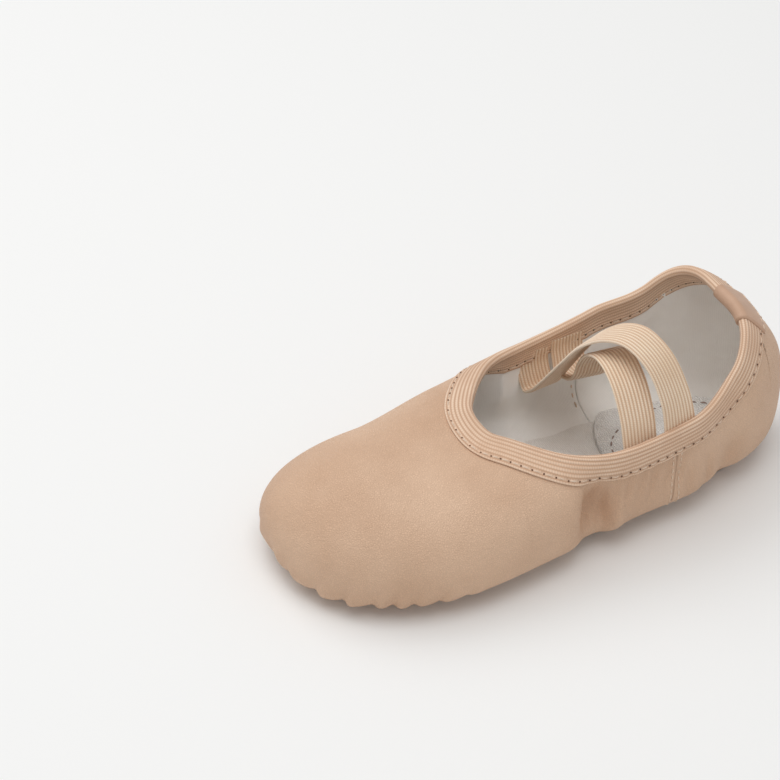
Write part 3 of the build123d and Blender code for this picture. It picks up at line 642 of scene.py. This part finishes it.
def layer(name, material, insets, drop, stations, count, side=0, crease=None):
    grids = []
    for inset in insets:
        inside = [min(max(s, inset + 0.02), shoeLength - inset - 0.02) for s in stations]
        grid = [skinRow(s, inset, drop, count, side) for s in inside]
        if stations[0] < 1:  # close the toe
            grid[0] = np.broadcast_to(grid[0].mean(0), grid[0].shape)
        if stations[-1] > shoeLength - 1:  # bring the two sides together at the heel
            grid[-1] = grid[-1] * np.array([0, 1, 1])
        grids.append(np.array(grid))
    rows, columns = grids[0].shape[:2]
    weave = np.zeros((rows, columns, 2))
    weave[..., 0] = np.array(stations)[:, None]
    weave[..., 1] = np.concatenate(
        [np.zeros((rows, 1)), np.cumsum(np.linalg.norm(np.diff(grids[0], axis=1), axis=-1), axis=1)], 1)
    grids = [softShape(g) for g in grids]
    if crease is not None:
        grids[1] = grids[1] - outward(grids[1], insets[1]) * crease(grids[1])[..., None]
    return sheetPiece(name, grids[0], grids[1], material, weave)


layers = {
    "leather": (0.0, 0.9),
    "lining": (1.0, 1.5),
    "edgeDrop": 1.6,
}
columnCount = 120
stepLength = 0.75


def stationsBetween(first, last):
    count = int((last - first) / stepLength) + 1
    return list(np.linspace(first, last, count))


toeStations = list(0.02 + 12 * np.linspace(0, 1, int(18 / stepLength)) ** 2)
throatStations = list(form["throatStation"] - 2 + 14 * np.linspace(0, 1, int(30 / stepLength)) ** 1.6)
vampStations = (toeStations[:-1] + stationsBetween(12, throatStations[0])[:-1] + throatStations[:-1]
                + stationsBetween(throatStations[-1], sideSeamStation))
heelTip = list(shoeLength - 0.02 - 14 * np.linspace(1, 0, int(26 / stepLength)) ** 2)
quarterStations = stationsBetween(sideSeamStation + 0.2, shoeLength - 14.2) + heelTip


def liningCrease(points):  # the loose lining stands off the leather in soft folds
    x, y, z = points[..., 0], points[..., 1], points[..., 2]
    long = np.sin(y / 4.6 + 1.9 * np.sin(z / 9.0) + 0.05 * x) * np.sin(z / 7.5 + 1.2 * np.sin(y / 12.0))
    short = 0.4 * np.sin(y / 2.3 - z / 2.9 + 2.0 * np.sin(x / 8.0))
    fold = np.clip(long + short, -0.3, 1.5)
    clear = smoothStep(0, 1, (z - 7) / 6)
    return 0.15 + 0.4 * (fold + 0.3) * clear


vamp = layer("vampLeather", softLeather, layers["leather"], layers["edgeDrop"], vampStations, columnCount)
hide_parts("vamp")
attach(vamp, "shoe")
vampLining = layer("vampLining", liningCloth, layers["lining"], layers["edgeDrop"], vampStations, columnCount,
                   crease=liningCrease)
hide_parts("vamp_lining")
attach(vampLining, "shoe")
for side, sideName in ((1, "left"), (-1, "right")):
    quarter = layer(sideName + "QuarterLeather", softLeather, layers["leather"], layers["edgeDrop"],
                    quarterStations, columnCount, side)
    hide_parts(sideName + "_quarter")
    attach(quarter, "shoe")
    quarterLining = layer(sideName + "QuarterLining", liningCloth, layers["lining"], layers["edgeDrop"],
                          quarterStations, columnCount, side, crease=liningCrease)
    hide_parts(sideName + "_quarter_lining")
    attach(quarterLining, "shoe")
print("upper and lining made")


binding = {
    "width": 8.6,
    "thickness": 0.75,
    "wall": 1.6,  # leather and lining that it folds over
    "ribs": 7,
    "ribHeight": 0.07,
    "stitchDrop": 7.0,
    "stitchPitch": 3.2,
    "columns": 620,
    "rowStep": 0.28,
}


def loopSmooth(points, times):
    for _ in range(times):
        points = (np.roll(points, 1, 0) + 2 * points + np.roll(points, -1, 0)) / 4
    return points


def evenLoop(points, count):
    closed = np.concatenate([points, points[:1]])
    return evenRow(closed, count + 1)[:-1]


def toplineLoop(inset):  # round the opening from the middle of the heel along +X, the throat and -X
    throat = form["throatStation"]
    stations = throat + (shoeLength - 2.0 - throat) * np.linspace(0, 1, 900) ** 2
    stations = np.concatenate([stations, np.linspace(stations[-1], shoeLength - 0.5, 40)[1:]])
    angle = edgeAngle(stations, inset, 0)
    open_ = angle < math.pi / 2 - 0.02
    last = np.max(np.nonzero(open_)[0])
    right = sectionPoints(stations[: last + 1], angle[: last + 1], inset)[::-1]
    left = right[::-1].copy()
    left[:, 0] *= -1
    loop = np.concatenate([right, left[1:]])
    return loopSmooth(evenLoop(loop, binding["columns"]), 14 * binding["columns"] // 300)


middleLoop = ontoForm(toplineLoop(0.8), 0.8)
openingMiddle = np.array([0, 22, 60])


def loopFrame(points, inset):  # along the loop, out of the face, and away from the opening
    along = np.roll(points, -1, 0) - np.roll(points, 1, 0)
    along /= np.linalg.norm(along, axis=1, keepdims=True)
    normal = outward(points, inset)
    down = np.cross(normal, along)
    down /= np.linalg.norm(down, axis=1, keepdims=True)
    down *= np.sign((down * (points - openingMiddle)).sum(-1).mean())
    return along, normal, down


def rowsBelow(inset, drops):  # rows on a face of the form at drops below the opening's edge
    rows, current, at = [], ontoForm(middleLoop, inset), 0.0
    for drop in drops:
        steps = max(1, int(math.ceil((drop - at) / 0.6)))
        for _ in range(steps if drop > at else 0):
            along, normal, down = loopFrame(current, inset)
            current = ontoForm(current + down * (drop - at) / steps, inset)
            current = loopSmooth(current, 2)
        at = drop
        rows.append(current)
    return rows


loopLength = np.linalg.norm(np.roll(middleLoop, -1, 0) - middleLoop, axis=1).sum()
loopPlace = np.arange(binding["columns"]) / binding["columns"] * loopLength
stitchCount = int(round(loopLength / binding["stitchPitch"]))


def stitchDimple(drop):  # the needle holes between the stitches pull the band in
    pitch = loopLength / stitchCount
    near = (loopPlace / pitch) % 1.0
    near = np.minimum(near, 1 - near) * pitch
    line = math.exp(-((drop - binding["stitchDrop"]) / 0.55) ** 2)
    return line * (0.12 + 0.42 * np.exp(-(near / 0.5) ** 2))


def ribRelief(across):
    return binding["ribHeight"] * math.cos(2 * math.pi * across / (binding["width"] / binding["ribs"]))


def bandRows():
    width, thick = binding["width"], binding["thickness"]
    drops = list(np.arange(0, width + 0.01, binding["rowStep"]))
    outer, inner = rowsBelow(0.0, drops), rowsBelow(binding["wall"], drops)
    rows, weave = [], []

    def addRow(points, across):
        rows.append(softShape(points))
        weave.append(np.stack([loopPlace, np.full_like(loopPlace, across)], -1))

    for drop, base in reversed(list(zip(drops, outer))):
        edge = rounded((width - drop) / 0.6, 2)
        height = (thick + ribRelief(drop)) * edge + 0.05 - stitchDimple(drop)
        addRow(base + outward(base, 0) * np.reshape(height, (-1, 1)), drop)
    along, normal, down = loopFrame(middleLoop, 0.8)
    radius = binding["wall"] / 2 + thick
    for step in range(1, 10):
        turn = math.pi * step / 10
        across = -radius * turn
        reach = radius + ribRelief(across)
        addRow(middleLoop + normal * reach * math.cos(turn) - down * (reach * math.sin(turn) * 0.9), across)
    for drop, base in zip(drops, inner):
        edge = rounded((width - drop) / 0.6, 2)
        across = -math.pi * radius - drop
        height = (thick + ribRelief(across)) * edge + 0.05 - stitchDimple(drop)
        addRow(base - outward(base, binding["wall"]) * np.reshape(height, (-1, 1)), across)
    for base in inner[::-6] + [inner[0]]:
        addRow(base - outward(base, binding["wall"]) * 0.03, -math.pi * radius)
    for base in outer[::6] + [outer[-1]]:
        addRow(base + outward(base, 0) * 0.03, 0)
    return rows, weave


rows, weave = bandRows()
bandFaces = gridFaces(len(rows), binding["columns"], closeRows=True, closeColumns=True)
band = newPiece("toplineBinding", np.concatenate(rows), bandFaces, bindingElastic, np.concatenate(weave))
tidyMesh(band, 0.001)
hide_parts("topline_binding")
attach(band, "shoe")
print("binding made")


thread = {"length": 2.4, "radius": 0.3, "rings": 7, "sides": 8}


# Small sunk loops of thread, one at each place of (middle, along, normal)
def stitchMesh(places):
    points, faces = [], []
    for middle, along, normal in places:
        side = np.cross(normal, along)
        start = len(points)
        for ring in range(thread["rings"]):
            share = ring / (thread["rings"] - 1)
            lean = math.cos(math.pi * (share - 0.5))
            centre = middle + along * (share - 0.5) * thread["length"] + normal * (lean * 0.34 - 0.28)
            radius = thread["radius"] * (0.5 + 0.5 * lean)
            for k in range(thread["sides"]):
                turn = 2 * math.pi * k / thread["sides"]
                sideways = side * radius * math.cos(turn)
                points.append(centre + sideways + normal * radius * 0.8 * math.sin(turn))
        faces += gridFaces(thread["rings"], thread["sides"], start, closeColumns=True)
        faces.append(tuple(start + k for k in reversed(range(thread["sides"]))))
        last = start + (thread["rings"] - 1) * thread["sides"]
        faces.append(tuple(last + k for k in range(thread["sides"])))
    return np.array(points), faces


def stitchPiece(name, node, places, material):
    points, faces = stitchMesh(places)
    piece = newPiece(name, points, faces, material, points[:, :2] * 1.0)
    tidyMesh(piece, 0.001)
    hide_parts(node)
    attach(piece, "shoe")
    return piece


def bandStitches(inset, lift):
    base = rowsBelow(inset, [0, binding["stitchDrop"]])[-1]
    face = softShape(base + outward(base, inset) * lift)
    outer = softShape(base + outward(base, inset) * (lift + math.copysign(0.5, lift)))
    places = []
    for k in range(stitchCount):
        index = (k + 0.5) * binding["columns"] / stitchCount
        i = int(index) % binding["columns"]
        j = (i + 1) % binding["columns"]
        share = index % 1.0
        middle = face[i] * (1 - share) + face[j] * share
        along = face[j] - face[i - 2]
        along /= np.linalg.norm(along)
        normal = outer[i] - face[i]
        normal /= np.linalg.norm(normal)
        places.append((middle, along, normal))
    return places


# The reach and height of each ring of a needle hole
holeProfile = ((0.002, -0.32), (0.22, -0.18), (0.32, 0.02), (0.22, 0.05), (0.002, 0.03))


def needleHoles(places, name):  # little pits at the ends of the stitches, coloured dark as painted shade in the holes
    points, faces = [], []
    for middle, along, normal in places:
        centre = middle + along * binding["stitchPitch"] / 2 - normal * 0.05
        side = np.cross(normal, along)
        start = len(points)
        for reach, height in holeProfile:
            for k in range(8):
                turn = 2 * math.pi * k / 8
                spoke = along * math.cos(turn) + side * math.sin(turn)
                points.append(centre + spoke * reach + normal * height)
        faces += gridFaces(5, 8, start, closeColumns=True)
    piece = newPiece(name, np.array(points), faces, needleShade, np.array(points)[:, :2])
    tidyMesh(piece, 0.01)
    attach(piece, "shoe")


bandThread = bandStitches(0.0, binding["thickness"]) + bandStitches(binding["wall"], -binding["thickness"])
stitchPiece("bindingStitching", "binding_stitching", bandThread, sewingThread)
needleHoles(bandThread, "bindingNeedleHoles")
print("binding stitches made")


tab = {"halfWidth": 8.2, "drop": 9.2, "thickness": 0.8, "lift": 0.85, "edge": 0.5}


def tabGrid(height):  # the tab's face at a height over the leather, outside, over the fold and inside
    near = [k for k in range(-binding["columns"] // 2, binding["columns"] // 2)
            if abs(k) * loopLength / binding["columns"] <= tab["halfWidth"]]
    drops = list(np.arange(0, tab["drop"] + 0.01, 0.45))
    outer, inner = rowsBelow(0.0, drops), rowsBelow(binding["wall"], drops)
    normal, down = loopFrame(middleLoop, 0.8)[1:]
    radius = binding["wall"] / 2 + height
    rows = [base + outward(base, 0) * height for base in outer[::-1]]
    for step in range(1, 10):
        turn = math.pi * step / 10
        rows.append(middleLoop + normal * radius * math.cos(turn) - down * radius * math.sin(turn) * 0.9)
    rows += [base - outward(base, binding["wall"]) * height for base in inner]
    grid = np.array([softShape(row[near]) for row in rows])
    return grid


tabTop, tabBottom = tabGrid(tab["lift"] + tab["thickness"]), tabGrid(tab["lift"])
share = np.linspace(-1, 1, tabTop.shape[1])
sideEdge = rounded((1 - np.abs(share)) * tab["halfWidth"] / tab["edge"], 2)
length = np.linspace(-1, 1, tabTop.shape[0])
endEdge = rounded((1 - np.abs(length)) * 14 / tab["edge"], 2)
blend = (np.minimum(sideEdge[None, :], endEdge[:, None]) * 0.75 + 0.25)[..., None]
tabTop = tabBottom + (tabTop - tabBottom) * blend
weave = np.stack(np.meshgrid(share * tab["halfWidth"], length * 14), -1)
heelTab = sheetPiece("heelTab", tabTop, tabBottom, tabLeather, weave)
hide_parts("heel_tab")
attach(heelTab, "shoe")
print("heel tab made")


def splineRow(knots, count):  # a smooth line through the knots
    knots = np.asarray(knots, float)
    runs = np.sqrt(np.linalg.norm(np.diff(knots[:, :3], axis=0), axis=1))
    at = np.concatenate([[0], np.cumsum(runs)])
    slopes = np.zeros_like(knots)
    slopes[1:-1] = (knots[2:] - knots[:-2]) / (at[2:] - at[:-2])[:, None]
    slopes[0], slopes[-1] = (knots[1] - knots[0]) / runs[0], (knots[-1] - knots[-2]) / runs[-1]
    place = np.linspace(0, at[-1], 1200)
    i = np.clip(np.searchsorted(at, place) - 1, 0, len(at) - 2)
    run = (at[i + 1] - at[i])[:, None]
    t = (place - at[i])[:, None] / run
    line = ((2 * t**3 - 3 * t**2 + 1) * knots[i] + (t**3 - 2 * t**2 + t) * run * slopes[i]
            + (-2 * t**3 + 3 * t**2) * knots[i + 1] + (t**3 - t**2) * run * slopes[i + 1])
    walked = np.concatenate([[0], np.cumsum(np.linalg.norm(np.diff(line[:, :3], axis=0), axis=1))])
    even = np.linspace(0, walked[-1], count)
    return np.stack([np.interp(even, walked, line[:, k]) for k in range(line.shape[1])], -1), even


def wallPoint(side, y, z, inset):  # on the upper's form at this inset
    point = ontoForm(np.array([[side * 34.0, y, z]]), inset)[0]
    point = ontoForm(np.array([[point[0], y, z]]), inset)[0]
    return list(point)


straps = {
    "halfWidth": 6.2,
    "thickness": 1.1,
    "ribs": 10,
    "ribHeight": 0.1,
    "count": 300,
}


# Knots are x, y, z of the middle line, then the turn of the width about Z, its lean and its share
def strapPiece(name, node, knots):
    line, along = splineRow(knots, straps["count"])
    middle = line[:, :3]
    ahead = np.gradient(middle, axis=0)
    ahead /= np.linalg.norm(ahead, axis=1, keepdims=True)
    turn = np.radians(line[:, 3])
    width = np.stack([-np.sin(turn), np.cos(turn), np.sin(np.radians(line[:, 4]))], -1)
    width -= (width * ahead).sum(-1, keepdims=True) * ahead
    width /= np.linalg.norm(width, axis=1, keepdims=True)
    normal = np.cross(ahead, width)
    across = np.linspace(-1, 1, 61)
    half = straps["halfWidth"] * line[:, 5]
    ribs = straps["ribHeight"] * np.cos(math.pi * straps["ribs"] * across)
    edge = rounded((1 - np.abs(across)) * straps["halfWidth"] / 0.55, 2)
    height = (straps["thickness"] / 2 + ribs) * edge
    base = middle[:, None] + width[:, None] * (across[None, :, None] * half[:, None, None])
    top = base + normal[:, None] * height[None, :, None]
    bottom = base - normal[:, None] * height[None, :, None]
    weave = np.stack(np.broadcast_arrays(along[:, None], across[None, :] * straps["halfWidth"]), -1)
    piece = sheetPiece(name, top, bottom, strapElastic, weave)
    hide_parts(node)
    return piece


overKnots = [
    wallPoint(-1, 17, 35, 2.5) + [0, 0, 1],
    wallPoint(-1, 17, 30, 2.8) + [0, 0, 1],
    [-29.6, 17, 25.5, 0, 0, 1],
    [-27.4, 17.4, 22.4, 0, 0, 1],
    [-24.4, 18.0, 24.0, 4, 0, 1],
    [-20.0, 19.2, 31.5, 10, 0, 1],
    [-13.0, 21.4, 44.0, 14, 0, 1],
    [-6.0, 24.0, 55.5, 16, 0, 1],
    [2.0, 27.5, 63.0, 18, 0, 1],
    [10.5, 30.8, 65.5, 19, 0, 1],
    [20.0, 33.6, 61.5, 18, 0, 1],
    [27.0, 35.4, 52.0, 13, 0, 1],
    [30.0, 36.2, 42.0, 5, 0, 0.98],
    wallPoint(1, 36.5, 34, 3.2) + [0, 0, 0.96],
    wallPoint(1, 36.5, 27, 3.2) + [0, 0, 1],
]
underKnots = [
    wallPoint(-1, 30, 37, 2.5) + [0, 0, 1],
    wallPoint(-1, 30, 32.5, 2.8) + [0, 0, 1],
    [-29.4, 30, 28.6, 0, 0, 1],
    [-27.4, 29.8, 26.2, -4, 0, 1],
    [-22.5, 29.3, 27.0, -8, 0, 1],
    [-16.0, 28.4, 30.5, -10, 0, 1],
    [-11.4, 27.7, 36.0, -10, 0, 1],
    [-8.6, 27.3, 43.5, -9, 0, 1],
    [-4.0, 26.7, 50.6, -8, 0, 1],
    [2.5, 26.0, 55.4, -6, 0, 1],
    [10.0, 25.0, 56.6, -5, 0, 1],
    [18.0, 24.0, 53.4, -4, 0, 1],
    [24.6, 23.0, 46.6, -3, 0, 1],
    [28.0, 22.4, 39.5, -1, 0, 1],
    wallPoint(1, 22, 33, 3.2) + [0, 0, 1],
    wallPoint(1, 22, 25, 3.2) + [0, 0, 1],
]
overStrap = strapPiece("overStrap", "over_strap", overKnots)
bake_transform(overStrap)
underStrap = strapPiece("underStrap", "under_strap", underKnots)
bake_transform(underStrap)
print("straps made")


def footprintRow(station, inset):
    half = float(halfWidth(np.array(station), inset))
    return float(centreOffset(np.array(station))), half


def footbed(name, node, material, first, last, inset, top, thickness, relief, ends=None):
    stations = np.concatenate([
        first + 10 * np.linspace(0, 1, 26)[:-1] ** 2,
        np.linspace(first + 10, last - 10, int((last - first) / stepLength))[:-1],
        last - 10 * np.linspace(1, 0, 26) ** 2])
    across = np.sin(np.linspace(-1, 1, 81) * math.pi / 2)
    grid = np.zeros((len(stations), len(across), 3))
    for i, station in enumerate(stations):
        middle, half = footprintRow(station, inset)
        if ends is not None:
            half = min(half, ends(station))
        grid[i, :, 0] = middle + across * half
        grid[i, :, 1] = station - shoeLength / 2
    grid[..., 2] = top
    lower = grid.copy()
    lower[..., 2] -= thickness
    edgeAcross = rounded((1 - np.abs(across)) * 25 / 0.8, 2)
    edgeAlong = rounded(np.minimum(stations - first, last - stations) / 0.8, 2)
    soft = edgeAcross[None, :] * edgeAlong[:, None]
    grid[..., 2] += relief(grid) - 0.55 * thickness * (1 - soft)
    weave = grid[..., :2].copy()
    piece = sheetPiece(name, grid, lower, material, weave)
    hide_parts(node)
    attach(piece, "shoe")
    return piece, grid


insoleLow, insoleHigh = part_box("insole")
insoleTop = insoleHigh.z / mm
insoleFirst = insoleLow.y / mm + shoeLength / 2
insoleLast = insoleHigh.y / mm + shoeLength / 2
insoleInset = 10.6


def insoleRelief(points):
    x, y = points[..., 0], points[..., 1]
    return 0.12 * np.sin(x / 6 + 0.7) * np.sin(y / 9) + 0.07 * np.sin(x / 2.6 + y / 3.1)


insolePiece, insoleGrid = footbed("insoleCanvas", "insole", insoleCanvas, insoleFirst, insoleLast,
                                  insoleInset, insoleTop, insoleTop - insoleLow.z / mm, insoleRelief)

padLow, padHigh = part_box("heel_pad")
padFirst = padLow.y / mm + shoeLength / 2
padLast = padHigh.y / mm + shoeLength / 2
padTop = padHigh.z / mm
padSpan = padLast - padFirst


def padShape(station):  # a round front edge on the heel pad
    middle = padFirst + 22
    return 26 * math.sqrt(max(1 - (max(middle - station, 0) / 22.001) ** 2, 0.0004))


def padRelief(points):
    x, y = points[..., 0], points[..., 1]
    tufts = (np.sin(x * 2.9 + 1.7 * np.sin(y * 1.3)) * np.sin(y * 3.1 + 1.4 * np.sin(x * 1.1 + 2))
             + 0.7 * np.sin(x * 5.2 + y * 2.3) * np.sin(y * 4.7 - x * 1.9))
    return 0.11 * tufts + 0.25 * np.sin(x / 7 + 1) * np.sin(y / 6)


heelPad, padGrid = footbed("heelPad", "heel_pad", terryCloth, padFirst, padLast, 12.1, padTop,
                           padTop - padLow.z / mm, padRelief, padShape)
print("insole and heel pad made")


def edgeWalk(grid):  # the grid's two long edges as one loop
    return np.concatenate([grid[:, -1], grid[::-1, 0]])


def alongLoop(loop, pitch):
    line = np.concatenate([loop, loop[:1]])
    runs = np.linalg.norm(np.diff(line, axis=0), axis=1)
    return evenRow(line, max(2, int(runs.sum() / pitch)) + 1)


upward = np.array([0, 0, 1.0])
overlock = []
insoleEdge = alongLoop(edgeWalk(insoleGrid), 1.5)
for k in range(len(insoleEdge) - 1):
    here, ahead = insoleEdge[k], insoleEdge[(k + 1) % (len(insoleEdge) - 1)] - insoleEdge[k - 1]
    ahead[2] = 0
    ahead /= max(np.linalg.norm(ahead), 1e-6)
    inwardWay = np.cross(upward, ahead)
    if np.dot(inwardWay, here - np.array([0, 0, here[2]])) > 0:
        inwardWay = -inwardWay
    lean = inwardWay + ahead * (0.35 if k % 2 else -0.25)
    lean /= np.linalg.norm(lean)
    middle = here + inwardWay * 0.7 + upward * (insoleTop - here[2] + 0.12)
    overlock.append((middle, lean, upward))
stitchPiece("insoleOverlocking", "insole_overlocking", overlock, insoleCanvas)


def lineStitches(path, inset, lift, pitch, samples=300):  # a row of stitches along points on the form
    base = ontoForm(evenRow(np.asarray(path, float), samples), inset)
    face = softShape(base + outward(base, inset) * lift)
    far = softShape(base + outward(base, inset) * (lift + math.copysign(0.5, lift)))
    walked = np.concatenate([[0], np.cumsum(np.linalg.norm(np.diff(face, axis=0), axis=1))])
    places = []
    for at in np.arange(pitch / 2, walked[-1], pitch):
        i = int(np.clip(np.searchsorted(walked, at), 2, len(face) - 3))
        along = face[i + 2] - face[i - 2]
        normal = far[i] - face[i]
        places.append((face[i], along / np.linalg.norm(along), normal / np.linalg.norm(normal)))
    return places


def rowOnFace(stations, angles, inset, lift, pitch):  # the same along stations and angles of the sections
    path = sectionPoints(np.asarray(stations, float), np.radians(np.asarray(angles, float)), inset)
    return lineStitches(path, inset, lift, pitch, 200)


for side, sideName in ((1, "left"), (-1, "right")):
    places = []
    for shift in (-1.5, 1.5):
        top = math.degrees(float(edgeAngle(np.array(sideSeamStation), 0.0, binding["width"] + 1.5)))
        angles = np.linspace(top, -40, 40)
        if side < 0:
            angles = 180 - angles
        stations = sideSeamStation + 0.1 + shift + 1.2 * np.sin(np.linspace(0, 1.4, 40))
        places += rowOnFace(stations, angles, 0.0, 0.06, 3.0)
    places += rowOnFace(np.full(40, sideSeamStation - 1.3), angles, layers["lining"][1], -0.3, 3.4)
    stitchPiece(sideName + "SideSeamStitching", sideName + "_side_seam_stitching", places, sewingThread)
print("seams made")


tapeLow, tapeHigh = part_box("back_seam_tape")
tapeHalf = (tapeHigh.x - tapeLow.x) / 2 / mm


def backPoint(height, inset):  # on the form's middle line at the back of the heel
    return ontoForm(np.array([[0.0, shoeLength / 2 - 1.5 - max(height - 30, 0) * 0.12, height]]), inset)[0]


heights = np.linspace(tapeLow.z / mm, tapeHigh.z / mm, 60)
offsets = np.linspace(-tapeHalf, tapeHalf, 17)
tapeGrids = []
for inset in (1.7, 2.1):
    grid = np.array([[backPoint(h, inset) + np.array([o, 0, 0]) for o in offsets] for h in heights])
    tapeGrids.append(softShape(ontoForm(grid, inset)))
weave = np.stack(np.meshgrid(offsets, heights), -1)
seamTape = sheetPiece("backSeamTape", tapeGrids[1], tapeGrids[0], liningCloth, weave)
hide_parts("back_seam_tape")
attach(seamTape, "shoe")


outerHeights = np.linspace(16, tapeHigh.z / mm - 2, 50)
backRows = []
for offset in (-2.0, 2.0):
    beside = np.array([offset, 0, 0])
    backRows += lineStitches([backPoint(h, 0.0) + beside for h in outerHeights], 0.0, 0.06, 3.0)
    backRows += lineStitches([backPoint(h, 2.1) + beside for h in heights[3:-3]], 2.1, -0.1, 3.0)
stitchPiece("backSeamStitching", "back_seam_stitching", backRows, sewingThread)

tabRows = []
near = [k for k in range(-binding["columns"] // 2, binding["columns"] // 2)
        if abs(k) * loopLength / binding["columns"] <= tab["halfWidth"] - 1.2]
tabHeight = tab["lift"] + tab["thickness"]
for inset, height in ((0.0, tabHeight), (binding["wall"], -tabHeight)):
    base = rowsBelow(inset, [0, tab["drop"] - 1.4])[-1][near]
    tabRows += lineStitches(base, inset, height, 3.0)
stitchPiece("heelTabStitching", "heel_tab_stitching", tabRows, sewingThread)
print("back seam made")


def solePatch(name, node):
    low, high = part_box(node)
    middle = np.array([low.x + high.x, low.y + high.y]) / 2 / mm
    halfX, halfY = (high.x - low.x) / 2 / mm, (high.y - low.y) / 2 / mm
    turns = np.linspace(0, 2 * math.pi, 160, endpoint=False)
    border = 0.9 + 0.1 * np.sin(np.linspace(0.1, 1, 7) * math.pi / 2)
    shares = np.concatenate([np.linspace(0.02, 0.9, 16), border])
    around = np.stack([np.cos(turns) * halfX, np.sin(turns) * halfY], -1)
    flat = middle + around[None] * shares[:, None, None]
    station = flat[..., 1] + shoeLength / 2
    x = (flat[..., 0] - centreOffset(station)) / halfWidth(station, 0)
    rise = widestHeight(station, 0) - soleHeight(station, 0)
    power = form["solePower"]
    face = widestHeight(station, 0) - rise * (1 - np.clip(np.abs(x), 0, 0.99) ** power) ** (1 / power)
    edge = rounded((1 - shares) * halfX / 0.7, 2)[:, None]
    upper = np.dstack([flat, face - 0.05])
    lower = np.dstack([flat, np.broadcast_to(0.02 + (1 - edge) * 0.6, face.shape)])
    lower[..., 2] = np.minimum(lower[..., 2], upper[..., 2] - 0.3)
    upper, lower, weave = (np.swapaxes(part, 0, 1) for part in (upper, lower, flat))
    piece = sheetPiece(name, upper, lower, soleSuede, weave, closeRows=True)
    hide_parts(node)
    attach(piece, "shoe")


# A row round part of an ellipse, sunk into the top of the footbed
def footbedStitches(name, node, grid, firstTurn, lastTurn):
    low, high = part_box(node)
    middle = np.array([low.x + high.x, low.y + high.y]) / 2 / mm
    halfX, halfY = (high.x - low.x) / 2 / mm, (high.y - low.y) / 2 / mm
    turns = np.radians(np.linspace(firstTurn, lastTurn, 200))
    ring = middle + np.stack([np.cos(turns) * halfX, np.sin(turns) * halfY], -1)
    flat = grid.reshape(-1, 3)
    heights = [flat[np.argmin(((flat[:, :2] - spot) ** 2).sum(-1)), 2] for spot in ring]
    ring = np.concatenate([ring, np.reshape(heights, (-1, 1))], -1)
    walked = np.concatenate([[0], np.cumsum(np.linalg.norm(np.diff(ring, axis=0), axis=1))])
    places = []
    for at in np.arange(1.6, walked[-1], 3.6):
        i = int(np.clip(np.searchsorted(walked, at), 1, len(ring) - 2))
        along = ring[i + 1] - ring[i - 1]
        places.append((ring[i] + upward * 0.12, along / np.linalg.norm(along), upward))
    stitchPiece(name, node, places, darkThread)


footbedStitches("forefootSoleStitching", "forefoot_sole_stitching", insoleGrid, -40, 220)
footbedStitches("heelSoleStitching", "heel_sole_stitching", padGrid, -5, 355)
solePatch("forefootSolePatch", "forefoot_sole_patch")
solePatch("heelSolePatch", "heel_sole_patch")
fillerFelt = clothMaterial("fillerFelt", {
    "low": linear(176, 168, 158), "high": linear(196, 190, 182), "threadPitch": 0.9, "patch": 200.0,
    "gapShade": 0.95, "nap": 900.0, "napHeight": 2.0, "bump": 0.6})
for node in ("forefoot_filler", "heel_filler"):
    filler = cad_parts[node]
    filler.data.materials.clear()
    filler.data.materials.append(fillerFelt)
print("sole made")


tableCloth, tree, shader = clearMaterial("paleFloor")
shader.inputs["Base Color"].default_value = linear(243, 243, 242)
shader.inputs["Roughness"].default_value = 0.55
shader.inputs["Specular IOR Level"].default_value = 0.15
bpy.ops.mesh.primitive_plane_add(size=12, location=(0, 0, -0.0002))
floor = bpy.context.object
floor.name = "paleFloor"
floor.data.materials.append(tableCloth)

world = bpy.data.worlds.new("softRoom")
bpy.context.scene.world = world
world.use_nodes = True
world.node_tree.nodes["Background"].inputs["Color"].default_value = (1, 1, 1, 1)
world.node_tree.nodes["Background"].inputs["Strength"].default_value = 0.5

view = {"azimuth": 58.0, "elevation": 42.1, "distance": 0.9, "target": (0, 0.002, 0.025), "lens": 125.5,
        "right": -0.0503, "up": 0.0143}
turn, rise = math.radians(view["azimuth"]), math.radians(view["elevation"])
back = Vector((math.sin(turn) * math.cos(rise), -math.cos(turn) * math.cos(rise), math.sin(rise)))
right = Vector((math.cos(turn), math.sin(turn), 0))
up = back.cross(right)


def aimed(thing, place, at):
    thing.location = place
    thing.rotation_euler = (Vector(at) - Vector(place)).to_track_quat("-Z", "Y").to_euler()
    bpy.context.scene.collection.objects.link(thing)
    return thing


def softLight(name, place, at, size, power, colour=(1, 1, 1)):
    data = bpy.data.lights.new(name, "AREA")
    data.shape = "RECTANGLE"
    data.size, data.size_y = size
    data.energy = power
    data.color = colour
    light = aimed(bpy.data.objects.new(name, data), place, at)
    return light


bpy.context.scene.view_settings.view_transform = "Standard"
target = Vector(view["target"])
keyPlace = target - right * 0.7 + Vector((-math.sin(turn), math.cos(turn), 0)) * 0.5 + Vector((0, 0, 1.1))
softLight("windowLight", keyPlace, target, (1.1, 1.1), 6.8)
softLight("overheadLight", target + back * 0.3 + Vector((0, 0, 1.05)), target, (0.9, 0.9), 5.4)

cameraData = bpy.data.cameras.new("camera")
cameraData.lens = view["lens"]
cameraData.sensor_width = 36
cameraData.clip_start = 0.01
cameraData.dof.use_dof = False
camera = bpy.data.objects.new("camera", cameraData)
place = target + back * view["distance"]
aimed(camera, place, target + right * view["right"] + up * view["up"])
bpy.context.scene.camera = camera
